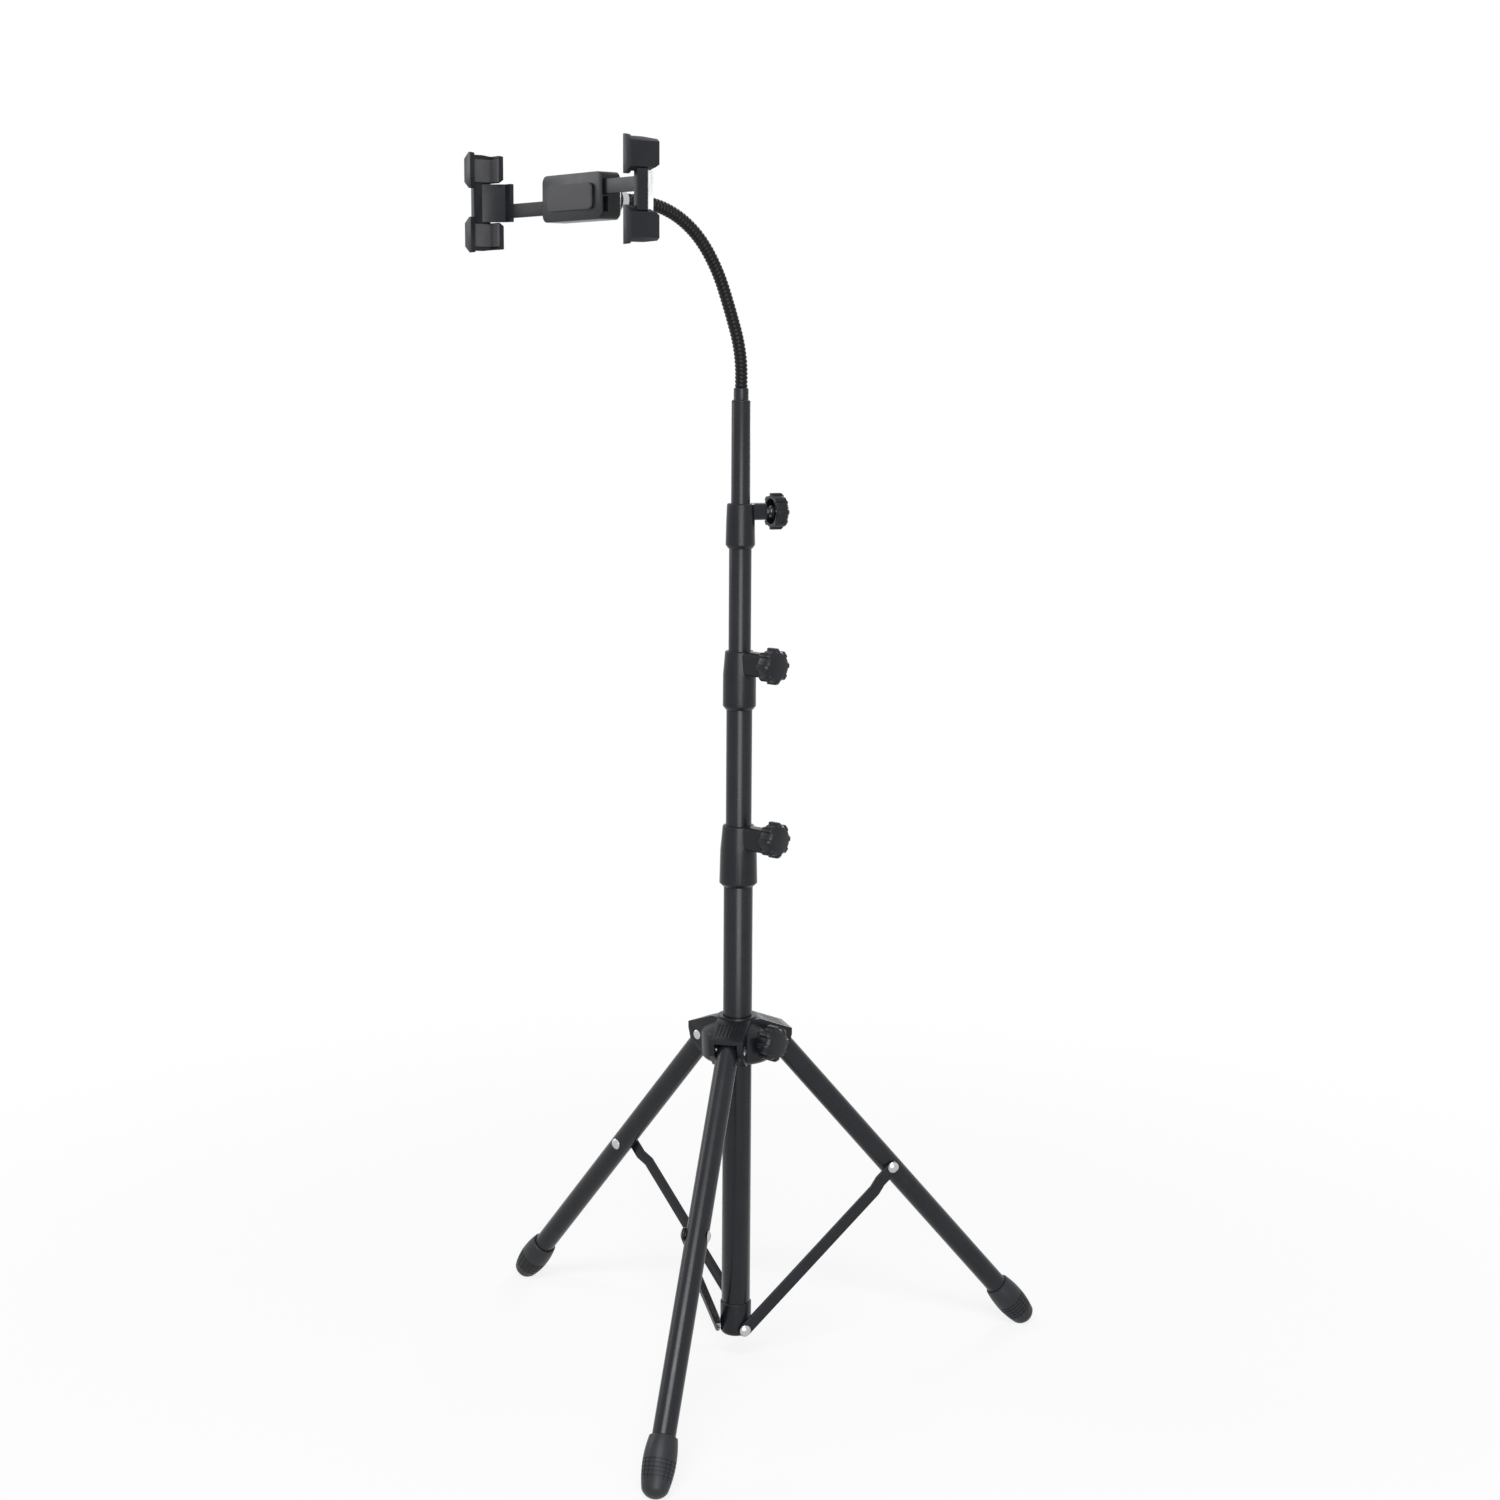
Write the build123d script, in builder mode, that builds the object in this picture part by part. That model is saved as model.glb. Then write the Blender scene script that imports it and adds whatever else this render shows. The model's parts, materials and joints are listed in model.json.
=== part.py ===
from build123d import *
import math
import os

# Adjustable tablet floor stand: three folding legs, a telescoping mast, a gooseneck and a tablet clamp.
# Millimetres. +Z is up, the origin is on the floor under the mast, and the clamp faces -Y.

# General
wall_gap = 0.3
running_gap = 0.05
overrun = 5.0

# Legs: directions seen from above, spread, tube and eye
leg_bearings = {"front": 310.0, "rear": 70.0, "left": 190.0}
leg_spread = 40.45
leg_radius = 9.5
leg_wall = 1.0
leg_eye_plug = 14.0
leg_tube_end = 366.0
leg_rivet_distance = 165.7
leg_fork_gap = 0.4

# Rubber feet, measured along the leg from its hinge
foot_start = 331.0
foot_tip_centre = 367.5
foot_tip_radius = 12.0
foot_mouth_radius = 11.3
foot_belly_radius = 13.4
foot_flat = 1.5
foot_groove_depth = 0.5
foot_groove_width = 1.1
foot_groove_pitch = 3.2
foot_groove_count = 5

# Rivets
rivet_radius = 2.5
rivet_head_radius = 4.9
rivet_head_height = 1.9
hinge_pin_radius = 3.0
hinge_head_radius = 4.1
hinge_head_height = 1.3

# Telescoping tubes
mast_radius = 12.5
tube_wall = 1.0
slide_gap = 0.5
lower_length = 370.0
middle_length = 350.0
top_length = 330.0

# Bottom cap of the mast, with one flat for each brace
cap_radius = 13.6
cap_flat = 13.4
cap_bottom_z = 22.0
cap_seat_height = 19.0
cap_skirt = 11.0
cap_round = 5.0
cap_lead = 0.8
cap_rivet_height = 7.0
cap_rivet_out = 4.0
cap_rivet_depth = 7.0

# Heights on the mast
mast_collar_z = 426.5
mast_collar_height = 53.0
lower_exposed = 100.0
lower_collar_height = 49.8
middle_exposed = 86.4
middle_collar_height = 37.5
top_exposed = 83.8

# Collars
collar_rim = 2.0
collar_chamfer = 3.0
collar_top_round = 0.8
collar_lip = 0.8
bush_wall = 1.2
bush_gap = 0.3
bush_length = 20.0
bush_slit = 1.5
boss_round = 4.0
collar_waist_share = 0.6
mast_collar_top_radius = 13.7
mast_collar_waist_radius = 15.6
mast_collar_foot_radius = 16.3
mast_boss_width = 16.0
mast_boss_height = 20.0
mast_boss_end = 32.0
mast_screw_drop = 7.7
mast_knob_bearing = 12.0
mast_knob_back = 35.0
lower_collar_top_radius = 12.4
lower_collar_waist_radius = 14.0
lower_collar_foot_radius = 14.1
lower_boss_width = 15.0
lower_boss_height = 20.0
lower_boss_end = 30.5
lower_screw_drop = 9.7
lower_knob_bearing = 9.0
lower_knob_back = 33.5
middle_collar_top_radius = 11.4
middle_collar_waist_radius = 12.0
middle_collar_foot_radius = 12.4
middle_boss_width = 14.0
middle_boss_height = 14.0
middle_boss_end = 21.5
middle_screw_drop = 7.2
middle_knob_bearing = 77.0
middle_knob_back = 27.4

# Knobs and their screws
screw_radius = 3.0
screw_seat = 8.0
nut_flat_radius = 4.8
nut_height = 4.5
nut_cover = 2.2
knob_radius = 15.5
knob_core_radius = 13.5
knob_lobe_radius = 2.9
knob_lobes = 8
knob_length = 12.0
knob_bevel = 2.6
knob_crown = 0.9
knob_hollow_radius = 10.8
knob_hollow_depth = 7.0
knob_boss_radius = 5.2

# Hub: the moulded spider that carries the legs, measured from their hinge height
hinge_out = 34.7
hub_below = 15.0
hub_body_radius = 31.0
hub_edge = 2.5
hub_shoulder = 9.0
hub_ring_radius = 16.9
hub_ring_rise = 22.3
hub_ring_height = 4.0
fork_tip = 45.0
fork_tip_rise = 10.5
fork_root_rise = 20.6
fork_half_width = 14.7
fork_heel = 30.0
fork_nose_rise = 5.0
fork_chin = 4.0
fork_chin_inset = 2.5
roof_wall = 3.0
slot_root = 20.5
roof_rib_count = 7
roof_rib_pitch = 3.3
roof_rib_width = 1.2
roof_rib_depth = 0.7
roof_rib_length_share = 0.62
hub_knob_bearing = 10.0
hub_knob_rise = 4.4
hub_boss_radius = 8.5
hub_boss_end = 33.0
hub_knob_back = 36.0

# Braces: a flat bar each, joggled out past its leg
brace_width = 11.0
brace_thickness = 2.5
brace_gap = 0.3
brace_joggle_start = 26.0
brace_joggle_end = 17.0

# Gooseneck: one stretch of the bend per piece, its length and the turn that it makes
neck_straight = 21.2
neck_bends = ((38.0, 19.0), (36.0, 3.0), (36.0, 15.0), (34.0, 22.0), (30.0, 21.0), (26.0, 10.0))
neck_tail = 6.5
neck_radius = 5.3
neck_root_radius = 4.75
neck_rib_pitch = 4.0
neck_rib_shares = (0.1, 0.35, 0.75, 1.0)
neck_joint_gap = 0.9
neck_joint_radius = 3.4
ferrule_radius = 6.3
ferrule_flange = 2.0
ferrule_height = 12.0
ferrule_spigot = 15.0
ferrule_round = 1.0

# Ball joint between the neck and the clamp
ball_radius = 7.5
ball_seat_wall = 1.8
ball_seat_half_width = 4.5
ball_neck_radius = 3.5
ball_offset = 12.0
nut_ring_radius = 15.0
nut_ring_half_width = 7.0
nut_ring_bevel = 1.5
nut_mouth_depth = 5.0
nut_mouth_flare = 1.9
nut_ring_flutes = 18
nut_ring_flute_radius = 1.3
stub_radius = 12.2
stub_start = 0.6

# Clamp housing, measured from the ball's centre towards the claws
housing_back = 13.0
housing_width = 84.0
housing_height = 36.0
housing_round = 6.0
housing_bevel = 2.5
guide_depth = 4.1
cover_thickness = 2.0
rest_pad_width = 60.0
rest_pad_height = 20.0
rest_pad_round = 4.0
rest_pad_thickness = 3.5

# Clamp arms
plate_thickness = 3.5
plate_height = 11.0
plate_offset = 1.0
plate_inner_end = 8.0
arm_reach = 118.8
claw_back = 32.5
claw_depth = 26.0
claw_height = 28.5
claw_offset = 25.5
claw_wall = 4.8
claw_lip = 9.9
claw_lip_thickness = 4.0
claw_jaw = 18.0
claw_jaw_thickness = 4.0
claw_corner_width = 7.0
claw_corner_height = 5.0
claw_back_drop = 3.0
claw_heel = 7.0
bar_back = 43.0
bar_front = 52.3
bar_half_height = 15.0
bar_shoulder = 24.8
bar_bend = 15.8
pad_thickness = 1.6
pad_inset = 2.0
pad_split = 0.6

# Places that follow from the sizes
lower_radius = mast_radius - tube_wall - slide_gap
middle_radius = lower_radius - tube_wall - slide_gap
top_radius = middle_radius - tube_wall - slide_gap
spread = math.radians(leg_spread)
hinge_z = foot_tip_centre * math.cos(spread) + foot_tip_radius - foot_flat
rivet_out = hinge_out + leg_rivet_distance * math.sin(spread)
rivet_z = hinge_z - leg_rivet_distance * math.cos(spread)
cap_rivet_z = cap_bottom_z + cap_rivet_height
brace_length = math.hypot(rivet_out - cap_rivet_out, rivet_z - cap_rivet_z)
brace_lean = math.atan2(rivet_out - cap_rivet_out, rivet_z - cap_rivet_z)
brace_main_inner = cap_flat + brace_gap
brace_eye_inner = leg_radius + brace_gap
mast_collar_top = mast_collar_z + mast_collar_height
lower_collar_z = mast_collar_top + lower_exposed
lower_collar_top = lower_collar_z + lower_collar_height
middle_collar_z = lower_collar_top + middle_exposed
middle_collar_top = middle_collar_z + middle_collar_height
top_tube_z = middle_collar_top + top_exposed
nut_bore = screw_radius + running_gap
fork_half_gap = leg_radius + leg_fork_gap
ball_seat_inner = ball_radius + wall_gap
ball_seat_outer = ball_seat_inner + ball_seat_wall
socket_radius = ball_seat_outer + wall_gap


def outward(bearing):
    """The level direction that points away from the mast at a bearing."""
    angle = math.radians(bearing)
    return Vector(math.cos(angle), math.sin(angle), 0)


def upright(bearing, side_offset=0.0):
    """The upright plane through the mast at a bearing: x is out, y is up, and z is its brace side."""
    out = outward(bearing)
    side = Vector(out.Y, -out.X, 0)
    return Plane(origin=side * side_offset, x_dir=out, z_dir=side)


def across(bearing, distance, height):
    """A plane square to the outward direction, facing away from the mast."""
    out = outward(bearing)
    return Plane(origin=out * distance + Vector(0, 0, height), x_dir=Vector(-out.Y, out.X, 0), z_dir=out)


def save(builder, name):
    """Label a finished piece and write it to its own file."""
    builder.part.label = name
    export_step(builder.part, "parts/" + name + ".step")


def dome_middle(base, height):
    """The radius and the rise of the point halfway up a dome of a base radius and a height."""
    sphere = (base ** 2 + height ** 2) / (2 * height)
    half = math.asin(base / sphere) / 2
    return sphere * math.sin(half), height - sphere * (1 - math.cos(half))


def leg_axis_plane(bearing, distance):
    """A plane square to a leg at a distance from its hinge, facing down the leg."""
    out = outward(bearing)
    down_leg = out * math.sin(spread) - Vector(0, 0, math.cos(spread))
    hinge = out * hinge_out + Vector(0, 0, hinge_z)
    return Plane(origin=hinge + down_leg * distance, x_dir=Vector(out.Y, -out.X, 0), z_dir=down_leg)


def leg_side_plane(bearing):
    """A plane at the hinge: x runs down the leg, z is the brace side."""
    axis_plane = leg_axis_plane(bearing, 0)
    return Plane(origin=axis_plane.origin, x_dir=axis_plane.z_dir, z_dir=axis_plane.x_dir)


def leg_tube(name, bearing):
    """A leg's tube, with a rounded eye for the hinge and a hole for the brace rivet."""
    side = leg_side_plane(bearing)
    with BuildPart() as tube:
        with BuildSketch(leg_axis_plane(bearing, -leg_radius)):
            Circle(leg_radius)
        extrude(amount=leg_radius + leg_tube_end)
        with BuildSketch(side):
            Circle(leg_radius)
            with Locations((leg_tube_end / 2, 0)):
                Rectangle(leg_tube_end, 4 * leg_radius)
        extrude(amount=2 * leg_radius, both=True, mode=Mode.INTERSECT)
        with BuildSketch(leg_axis_plane(bearing, leg_eye_plug)):
            Circle(leg_radius - leg_wall)
        extrude(amount=leg_tube_end, mode=Mode.SUBTRACT)
        with BuildSketch(side):
            Circle(hinge_pin_radius + running_gap)
            with Locations((leg_rivet_distance, 0)):
                Circle(rivet_radius)
        extrude(amount=leg_radius, both=True, mode=Mode.SUBTRACT)
    save(tube, name)


def foot(name, bearing):
    """A rubber boot on a leg's end, bellied and grooved, cut flat where it meets the floor."""
    side = leg_side_plane(bearing)
    belly_at = foot_tip_centre - (foot_tip_centre - foot_start) / 2
    groove_start = foot_tip_centre - foot_groove_pitch * (foot_groove_count - 1) - foot_tip_radius / 3
    with BuildPart() as boot:
        with BuildSketch(side):
            with BuildLine():
                Line((foot_start, 0), (foot_start, foot_mouth_radius))
                ThreePointArc((foot_start, foot_mouth_radius), (belly_at, foot_belly_radius),
                              (foot_tip_centre + foot_tip_radius / 2, foot_tip_radius * math.sin(math.pi / 3)))
                ThreePointArc((foot_tip_centre + foot_tip_radius / 2, foot_tip_radius * math.sin(math.pi / 3)),
                              (foot_tip_centre + foot_tip_radius * math.cos(math.pi / 6), foot_tip_radius / 2),
                              (foot_tip_centre + foot_tip_radius, 0))
                Line((foot_tip_centre + foot_tip_radius, 0), (foot_start, 0))
            make_face()
        revolve(axis=Axis(side.origin, side.x_dir))
        for row in range(foot_groove_count):
            narrowing = (foot_belly_radius - foot_tip_radius) * (row / foot_groove_count) ** 2
            with BuildSketch(leg_axis_plane(bearing, groove_start + row * foot_groove_pitch)):
                Circle(foot_belly_radius + foot_groove_width)
                Circle(foot_belly_radius - foot_groove_depth - narrowing, mode=Mode.SUBTRACT)
            extrude(amount=foot_groove_width, mode=Mode.SUBTRACT)
        with BuildSketch(leg_axis_plane(bearing, foot_start - overrun)):
            Circle(leg_radius)
        extrude(amount=leg_tube_end - foot_start + overrun, mode=Mode.SUBTRACT)
        with BuildSketch(Plane.XY):
            with Locations(leg_axis_plane(bearing, foot_tip_centre).origin):
                Circle(2 * foot_belly_radius)
        extrude(amount=-2 * foot_tip_radius, mode=Mode.SUBTRACT)
    save(boot, name)


def leg_rivet(name, bearing):
    """The leg's half of the brace pivot: a domed head on one side and a shank through the tube."""
    side = leg_side_plane(bearing)
    centre = side.from_local_coords((leg_rivet_distance, 0, 0))
    section = Plane(origin=centre, x_dir=side.z_dir * -1, z_dir=side.x_dir)
    head_top = leg_radius + rivet_head_height
    out, rise = dome_middle(rivet_head_radius, rivet_head_height)
    with BuildPart() as rivet:
        with BuildSketch(section):
            with BuildLine():
                Polyline((head_top, 0), (-leg_radius + wall_gap, 0), (-leg_radius + wall_gap, rivet_radius),
                         (leg_radius, rivet_radius), (leg_radius, rivet_head_radius))
                ThreePointArc((leg_radius, rivet_head_radius), (leg_radius + rise, out), (head_top, 0))
            make_face()
        revolve(axis=Axis(centre, section.x_dir))
    save(rivet, name)


def brace_side_rivet(name, bearing):
    """The brace's half of that pivot: a stub in the bar's eye with a domed head outside it."""
    plane = upright(bearing)
    centre = plane.from_local_coords((rivet_out, rivet_z, 0))
    section = Plane(origin=centre, x_dir=plane.z_dir, z_dir=plane.x_dir)
    outer = brace_eye_inner + brace_thickness
    head_top = outer + rivet_head_height
    out, rise = dome_middle(rivet_head_radius, rivet_head_height)
    with BuildPart() as rivet:
        with BuildSketch(section):
            with BuildLine():
                Polyline((head_top, 0), (brace_eye_inner, 0), (brace_eye_inner, rivet_radius),
                         (outer, rivet_radius), (outer, rivet_head_radius))
                ThreePointArc((outer, rivet_head_radius), (outer + rise, out), (head_top, 0))
            make_face()
        revolve(axis=Axis(centre, plane.z_dir))
    save(rivet, name)


def brace(name, bearing):
    """A flat bar from the bottom cap to the leg, joggled to lie on the leg's side at its eye."""
    plane = upright(bearing)
    foot_point = plane.from_local_coords((cap_rivet_out, cap_rivet_z, 0))
    along = plane.x_dir * math.sin(brace_lean) + Vector(0, 0, math.cos(brace_lean))
    bar = Plane(origin=foot_point, x_dir=along, z_dir=plane.z_dir)
    edge = Plane(origin=foot_point, x_dir=along, z_dir=bar.y_dir * -1)
    half = brace_width / 2
    start = brace_length - brace_joggle_start
    end = brace_length - brace_joggle_end
    far = brace_length + half
    with BuildPart() as strut:
        with BuildSketch(edge):
            with BuildLine():
                Polyline((-half, brace_main_inner), (start, brace_main_inner), (end, brace_eye_inner),
                         (far, brace_eye_inner), (far, brace_eye_inner + brace_thickness),
                         (end, brace_eye_inner + brace_thickness), (start, brace_main_inner + brace_thickness),
                         (-half, brace_main_inner + brace_thickness), close=True)
            make_face()
        extrude(amount=half, both=True)
        with BuildSketch(bar):
            with Locations((brace_length / 2, 0)):
                SlotCenterToCenter(brace_length, brace_width)
        extrude(amount=brace_main_inner + 2 * brace_thickness, mode=Mode.INTERSECT)
        with BuildSketch(bar):
            Circle(rivet_radius + running_gap)
            with Locations((brace_length, 0)):
                Circle(rivet_radius)
        extrude(amount=brace_main_inner + 2 * brace_thickness, mode=Mode.SUBTRACT)
    save(strut, name)


def cap_rivets():
    """The three rivets that pin the braces to the bottom cap."""
    outer = brace_main_inner + brace_thickness + brace_gap
    head_top = outer + rivet_head_height
    out, rise = dome_middle(rivet_head_radius, rivet_head_height)
    with BuildPart() as rivets:
        for bearing in leg_bearings.values():
            plane = upright(bearing)
            centre = plane.from_local_coords((cap_rivet_out, cap_rivet_z, 0))
            section = Plane(origin=centre, x_dir=plane.z_dir, z_dir=plane.x_dir)
            with BuildSketch(section):
                with BuildLine():
                    Polyline((head_top, 0), (cap_rivet_depth, 0), (cap_rivet_depth, rivet_radius),
                             (outer, rivet_radius), (outer, rivet_head_radius))
                    ThreePointArc((outer, rivet_head_radius), (outer + rise, out), (head_top, 0))
                make_face()
            revolve(axis=Axis(centre, plane.z_dir))
    save(rivets, "cap_rivets")


def bottom_cap():
    """The moulded cap that closes the mast and carries the braces' lower ends."""
    seat = cap_bottom_z + cap_seat_height
    with BuildPart() as cap:
        with BuildSketch(Plane.XY.offset(cap_bottom_z)):
            Circle(cap_radius)
        extrude(amount=cap_seat_height + cap_skirt)
        fillet(cap.edges().group_by(Axis.Z)[0], cap_round)
        chamfer(cap.edges().group_by(Axis.Z)[-1], cap_lead)
        with BuildSketch(Plane.XY.offset(seat)):
            Circle(mast_radius)
        extrude(amount=cap_skirt, mode=Mode.SUBTRACT)
        for bearing in leg_bearings.values():
            plane = upright(bearing, cap_flat)
            with BuildSketch(plane):
                with Locations((0, cap_rivet_z)):
                    Rectangle(4 * cap_radius, 2 * (cap_seat_height + cap_skirt + cap_rivet_height))
            extrude(amount=cap_radius, mode=Mode.SUBTRACT)
            with BuildSketch(upright(bearing, cap_rivet_depth)):
                with Locations((cap_rivet_out, cap_rivet_z)):
                    Circle(rivet_radius)
            extrude(amount=cap_radius, mode=Mode.SUBTRACT)
    save(cap, "bottom_cap")


def tube(name, radius, bottom, top):
    """One tube of the mast."""
    with BuildPart() as pipe:
        with BuildSketch(Plane.XY.offset(bottom)):
            Circle(radius)
            Circle(radius - tube_wall, mode=Mode.SUBTRACT)
        extrude(amount=top - bottom)
    save(pipe, name)


class CollarSet:
    """A collar with its bush, captive nut, screw and knob."""

    def __init__(self, stem, tube_radius, inner_radius, bottom, height, top_r, waist_r, bottom_r,
                 boss_width, boss_height, boss_end, screw_drop, bearing, knob_back, loose_bush):
        self.stem = stem
        self.tube_radius = tube_radius
        self.inner_radius = inner_radius
        self.bottom = bottom
        self.top = bottom + height
        self.height = height
        self.top_r = top_r
        self.waist_r = waist_r
        self.bottom_r = bottom_r
        self.boss_width = boss_width
        self.boss_height = boss_height
        self.boss_end = boss_end
        self.screw_z = self.top - screw_drop
        self.bearing = bearing
        self.knob_back = knob_back
        self.bush_radius = inner_radius + bush_gap + bush_wall
        self.pocket_radius = self.bush_radius + (wall_gap if loose_bush else 0)
        self.pocket_top = self.top - collar_rim
        self.axial_gap = wall_gap if loose_bush else 0
        self.seat = self.pocket_top - bush_length - 2 * self.axial_gap

    def shell(self):
        """The moulded collar, wider towards its foot, with a boss for the screw."""
        waist_z = self.top - self.height * (1 - collar_waist_share)
        with BuildPart() as shell:
            with BuildSketch(Plane.XZ):
                with BuildLine():
                    Polyline((0, self.bottom), (self.tube_radius + collar_lip, self.bottom),
                             (self.bottom_r, self.bottom + collar_chamfer), (self.waist_r, waist_z),
                             (self.top_r, self.top - collar_top_round),
                             (self.top_r - collar_top_round, self.top), (0, self.top), close=True)
                make_face()
            revolve(axis=Axis.Z)
            boss_z = self.top - self.boss_height / 2
            with BuildSketch(across(self.bearing, 0, boss_z)):
                RectangleRounded(self.boss_width, self.boss_height, boss_round)
            extrude(amount=self.boss_end)
            with BuildSketch(Plane.XY.offset(self.bottom - overrun)):
                Circle(self.tube_radius)
            extrude(amount=self.seat - self.bottom + overrun, mode=Mode.SUBTRACT)
            with BuildSketch(Plane.XY.offset(self.seat)):
                Circle(self.pocket_radius)
            extrude(amount=self.pocket_top - self.seat, mode=Mode.SUBTRACT)
            with BuildSketch(Plane.XY.offset(self.pocket_top - overrun)):
                Circle(self.inner_radius + bush_gap)
            extrude(amount=collar_rim + 2 * overrun, mode=Mode.SUBTRACT)
            with BuildSketch(across(self.bearing, 0, self.screw_z)):
                Circle(nut_bore)
            extrude(amount=self.boss_end, mode=Mode.SUBTRACT)
            with BuildSketch(across(self.bearing, self.boss_end - nut_cover - nut_height, self.screw_z)):
                RegularPolygon(nut_flat_radius, 6, major_radius=False)
            extrude(amount=nut_height, mode=Mode.SUBTRACT)
        save(shell, self.stem + "_collar")

    def bush(self):
        """The slit bush that grips the inner tube."""
        with BuildPart() as bush:
            with BuildSketch(Plane.XY.offset(self.seat + self.axial_gap)):
                Circle(self.bush_radius)
                Circle(self.inner_radius + bush_gap, mode=Mode.SUBTRACT)
            extrude(amount=bush_length)
            with BuildSketch(across(self.bearing + 180, 0, self.seat + bush_length / 2)):
                Rectangle(bush_slit, 2 * bush_length)
            extrude(amount=2 * self.bush_radius, mode=Mode.SUBTRACT)
        save(bush, self.stem + "_bush")

    def build(self):
        """Build the whole set."""
        self.shell()
        self.bush()
        captive_nut(self.stem + "_nut", self.bearing, self.boss_end - nut_cover - nut_height, self.screw_z)
        knob_screw(self.stem + "_screw", self.bearing, self.pocket_radius + wall_gap, self.knob_back, self.screw_z)
        star_knob(self.stem + "_knob", self.bearing, self.knob_back, self.screw_z)


def captive_nut(name, bearing, start, height):
    """The hexagon nut that sits in a boss."""
    with BuildPart() as nut:
        with BuildSketch(across(bearing, start, height)):
            RegularPolygon(nut_flat_radius, 6, major_radius=False)
            Circle(nut_bore, mode=Mode.SUBTRACT)
        extrude(amount=nut_height)
    save(nut, name)


def knob_screw(name, bearing, tip, knob_back, height):
    """The clamping screw, from its tip inside the boss to its seat in the knob."""
    with BuildPart() as screw:
        with BuildSketch(across(bearing, tip, height)):
            Circle(screw_radius)
        extrude(amount=knob_back + screw_seat - tip)
        chamfer(screw.edges().sort_by(Axis(Vector(), outward(bearing)))[0], screw_radius / 6)
    save(screw, name)


def star_knob(name, bearing, back, height):
    """A moulded star knob, hollow behind, with a bevelled rim and a crowned face."""
    plane = across(bearing, back, height)
    section = Plane(origin=plane.origin, x_dir=plane.z_dir, z_dir=Vector(0, 0, 1))
    with BuildPart() as knob:
        with BuildSketch(plane):
            Circle(knob_core_radius)
            with PolarLocations(knob_radius - knob_lobe_radius, knob_lobes):
                Circle(knob_lobe_radius)
        extrude(amount=knob_length + knob_crown)
        with BuildSketch(section):
            with BuildLine():
                Polyline((0, 0), (0, knob_radius), (knob_length - knob_bevel, knob_radius),
                         (knob_length, knob_radius - knob_bevel),
                         (knob_length + knob_crown, knob_boss_radius), (knob_length + knob_crown, 0), close=True)
            make_face()
        revolve(axis=Axis(section.origin, section.x_dir), mode=Mode.INTERSECT)
        with BuildSketch(plane):
            Circle(knob_hollow_radius)
            Circle(knob_boss_radius, mode=Mode.SUBTRACT)
        extrude(amount=knob_hollow_depth, mode=Mode.SUBTRACT)
        with BuildSketch(plane):
            Circle(screw_radius)
        extrude(amount=screw_seat, mode=Mode.SUBTRACT)
    save(knob, name)


def hub():
    """The spider: a domed body round the mast, three forks with ribbed roofs, and the knob's boss."""
    bore = mast_radius + wall_gap
    bottom = hinge_z - hub_below
    shoulder = hinge_z + hub_shoulder
    ring_top = hinge_z + hub_ring_rise
    ring_foot = ring_top - hub_ring_height
    root = (hub_ring_radius, hinge_z + fork_root_rise)
    tip = (fork_tip, hinge_z + fork_tip_rise)
    slope = math.atan2(root[1] - tip[1], tip[0] - root[0])
    drop = roof_wall / math.cos(slope)
    rise = math.tan(slope)
    with BuildPart() as spider:
        with BuildSketch(Plane.XZ):
            with BuildLine():
                Polyline((0, bottom), (hub_body_radius - hub_edge, bottom), (hub_body_radius, bottom + hub_edge),
                         (hub_body_radius, shoulder), (hub_body_radius - hub_edge, shoulder + hub_edge),
                         (hub_ring_radius, ring_foot), (hub_ring_radius, ring_top), (0, ring_top), close=True)
            make_face()
        revolve(axis=Axis.Z)
        for bearing in leg_bearings.values():
            with BuildSketch(upright(bearing)):
                with BuildLine():
                    Polyline((0, bottom), (fork_heel, bottom), (fork_tip - fork_chin_inset, hinge_z - fork_chin),
                             (fork_tip, hinge_z + fork_nose_rise), tip, root, (0, root[1]), close=True)
                make_face()
            extrude(amount=fork_half_width, both=True)
        with BuildSketch(across(hub_knob_bearing, 0, hinge_z + hub_knob_rise)):
            Circle(hub_boss_radius)
        extrude(amount=hub_boss_end)
        for bearing in leg_bearings.values():
            with BuildSketch(upright(bearing)):
                with BuildLine():
                    Polyline((slot_root, bottom - overrun),
                             (slot_root, root[1] - (slot_root - root[0]) * rise - drop),
                             (fork_tip + overrun, tip[1] - overrun * rise - drop),
                             (fork_tip + overrun, bottom - overrun), close=True)
                make_face()
            extrude(amount=fork_half_gap, both=True, mode=Mode.SUBTRACT)
            with BuildSketch(upright(bearing)):
                with Locations((hinge_out, hinge_z)):
                    Circle(hinge_pin_radius)
            extrude(amount=fork_half_width, both=True, mode=Mode.SUBTRACT)
            middle = upright(bearing).from_local_coords(((root[0] + tip[0]) / 2, (root[1] + tip[1]) / 2, 0))
            normal = upright(bearing).x_dir * math.sin(slope) + Vector(0, 0, math.cos(slope))
            roof = Plane(origin=middle, x_dir=upright(bearing).z_dir, z_dir=normal)
            with BuildSketch(roof):
                with GridLocations(roof_rib_pitch, 0, roof_rib_count, 1):
                    Rectangle(roof_rib_width, (tip[0] - root[0]) * roof_rib_length_share)
            extrude(amount=-roof_rib_depth, mode=Mode.SUBTRACT)
        with BuildSketch(Plane.XY.offset(bottom)):
            Circle(bore)
        extrude(amount=ring_top - bottom, mode=Mode.SUBTRACT)
        with BuildSketch(across(hub_knob_bearing, 0, hinge_z + hub_knob_rise)):
            Circle(nut_bore)
        extrude(amount=hub_boss_end, mode=Mode.SUBTRACT)
        with BuildSketch(across(hub_knob_bearing, hub_boss_end - nut_cover - nut_height, hinge_z + hub_knob_rise)):
            RegularPolygon(nut_flat_radius, 6, major_radius=False)
        extrude(amount=nut_height, mode=Mode.SUBTRACT)
    save(spider, "hub")


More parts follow.
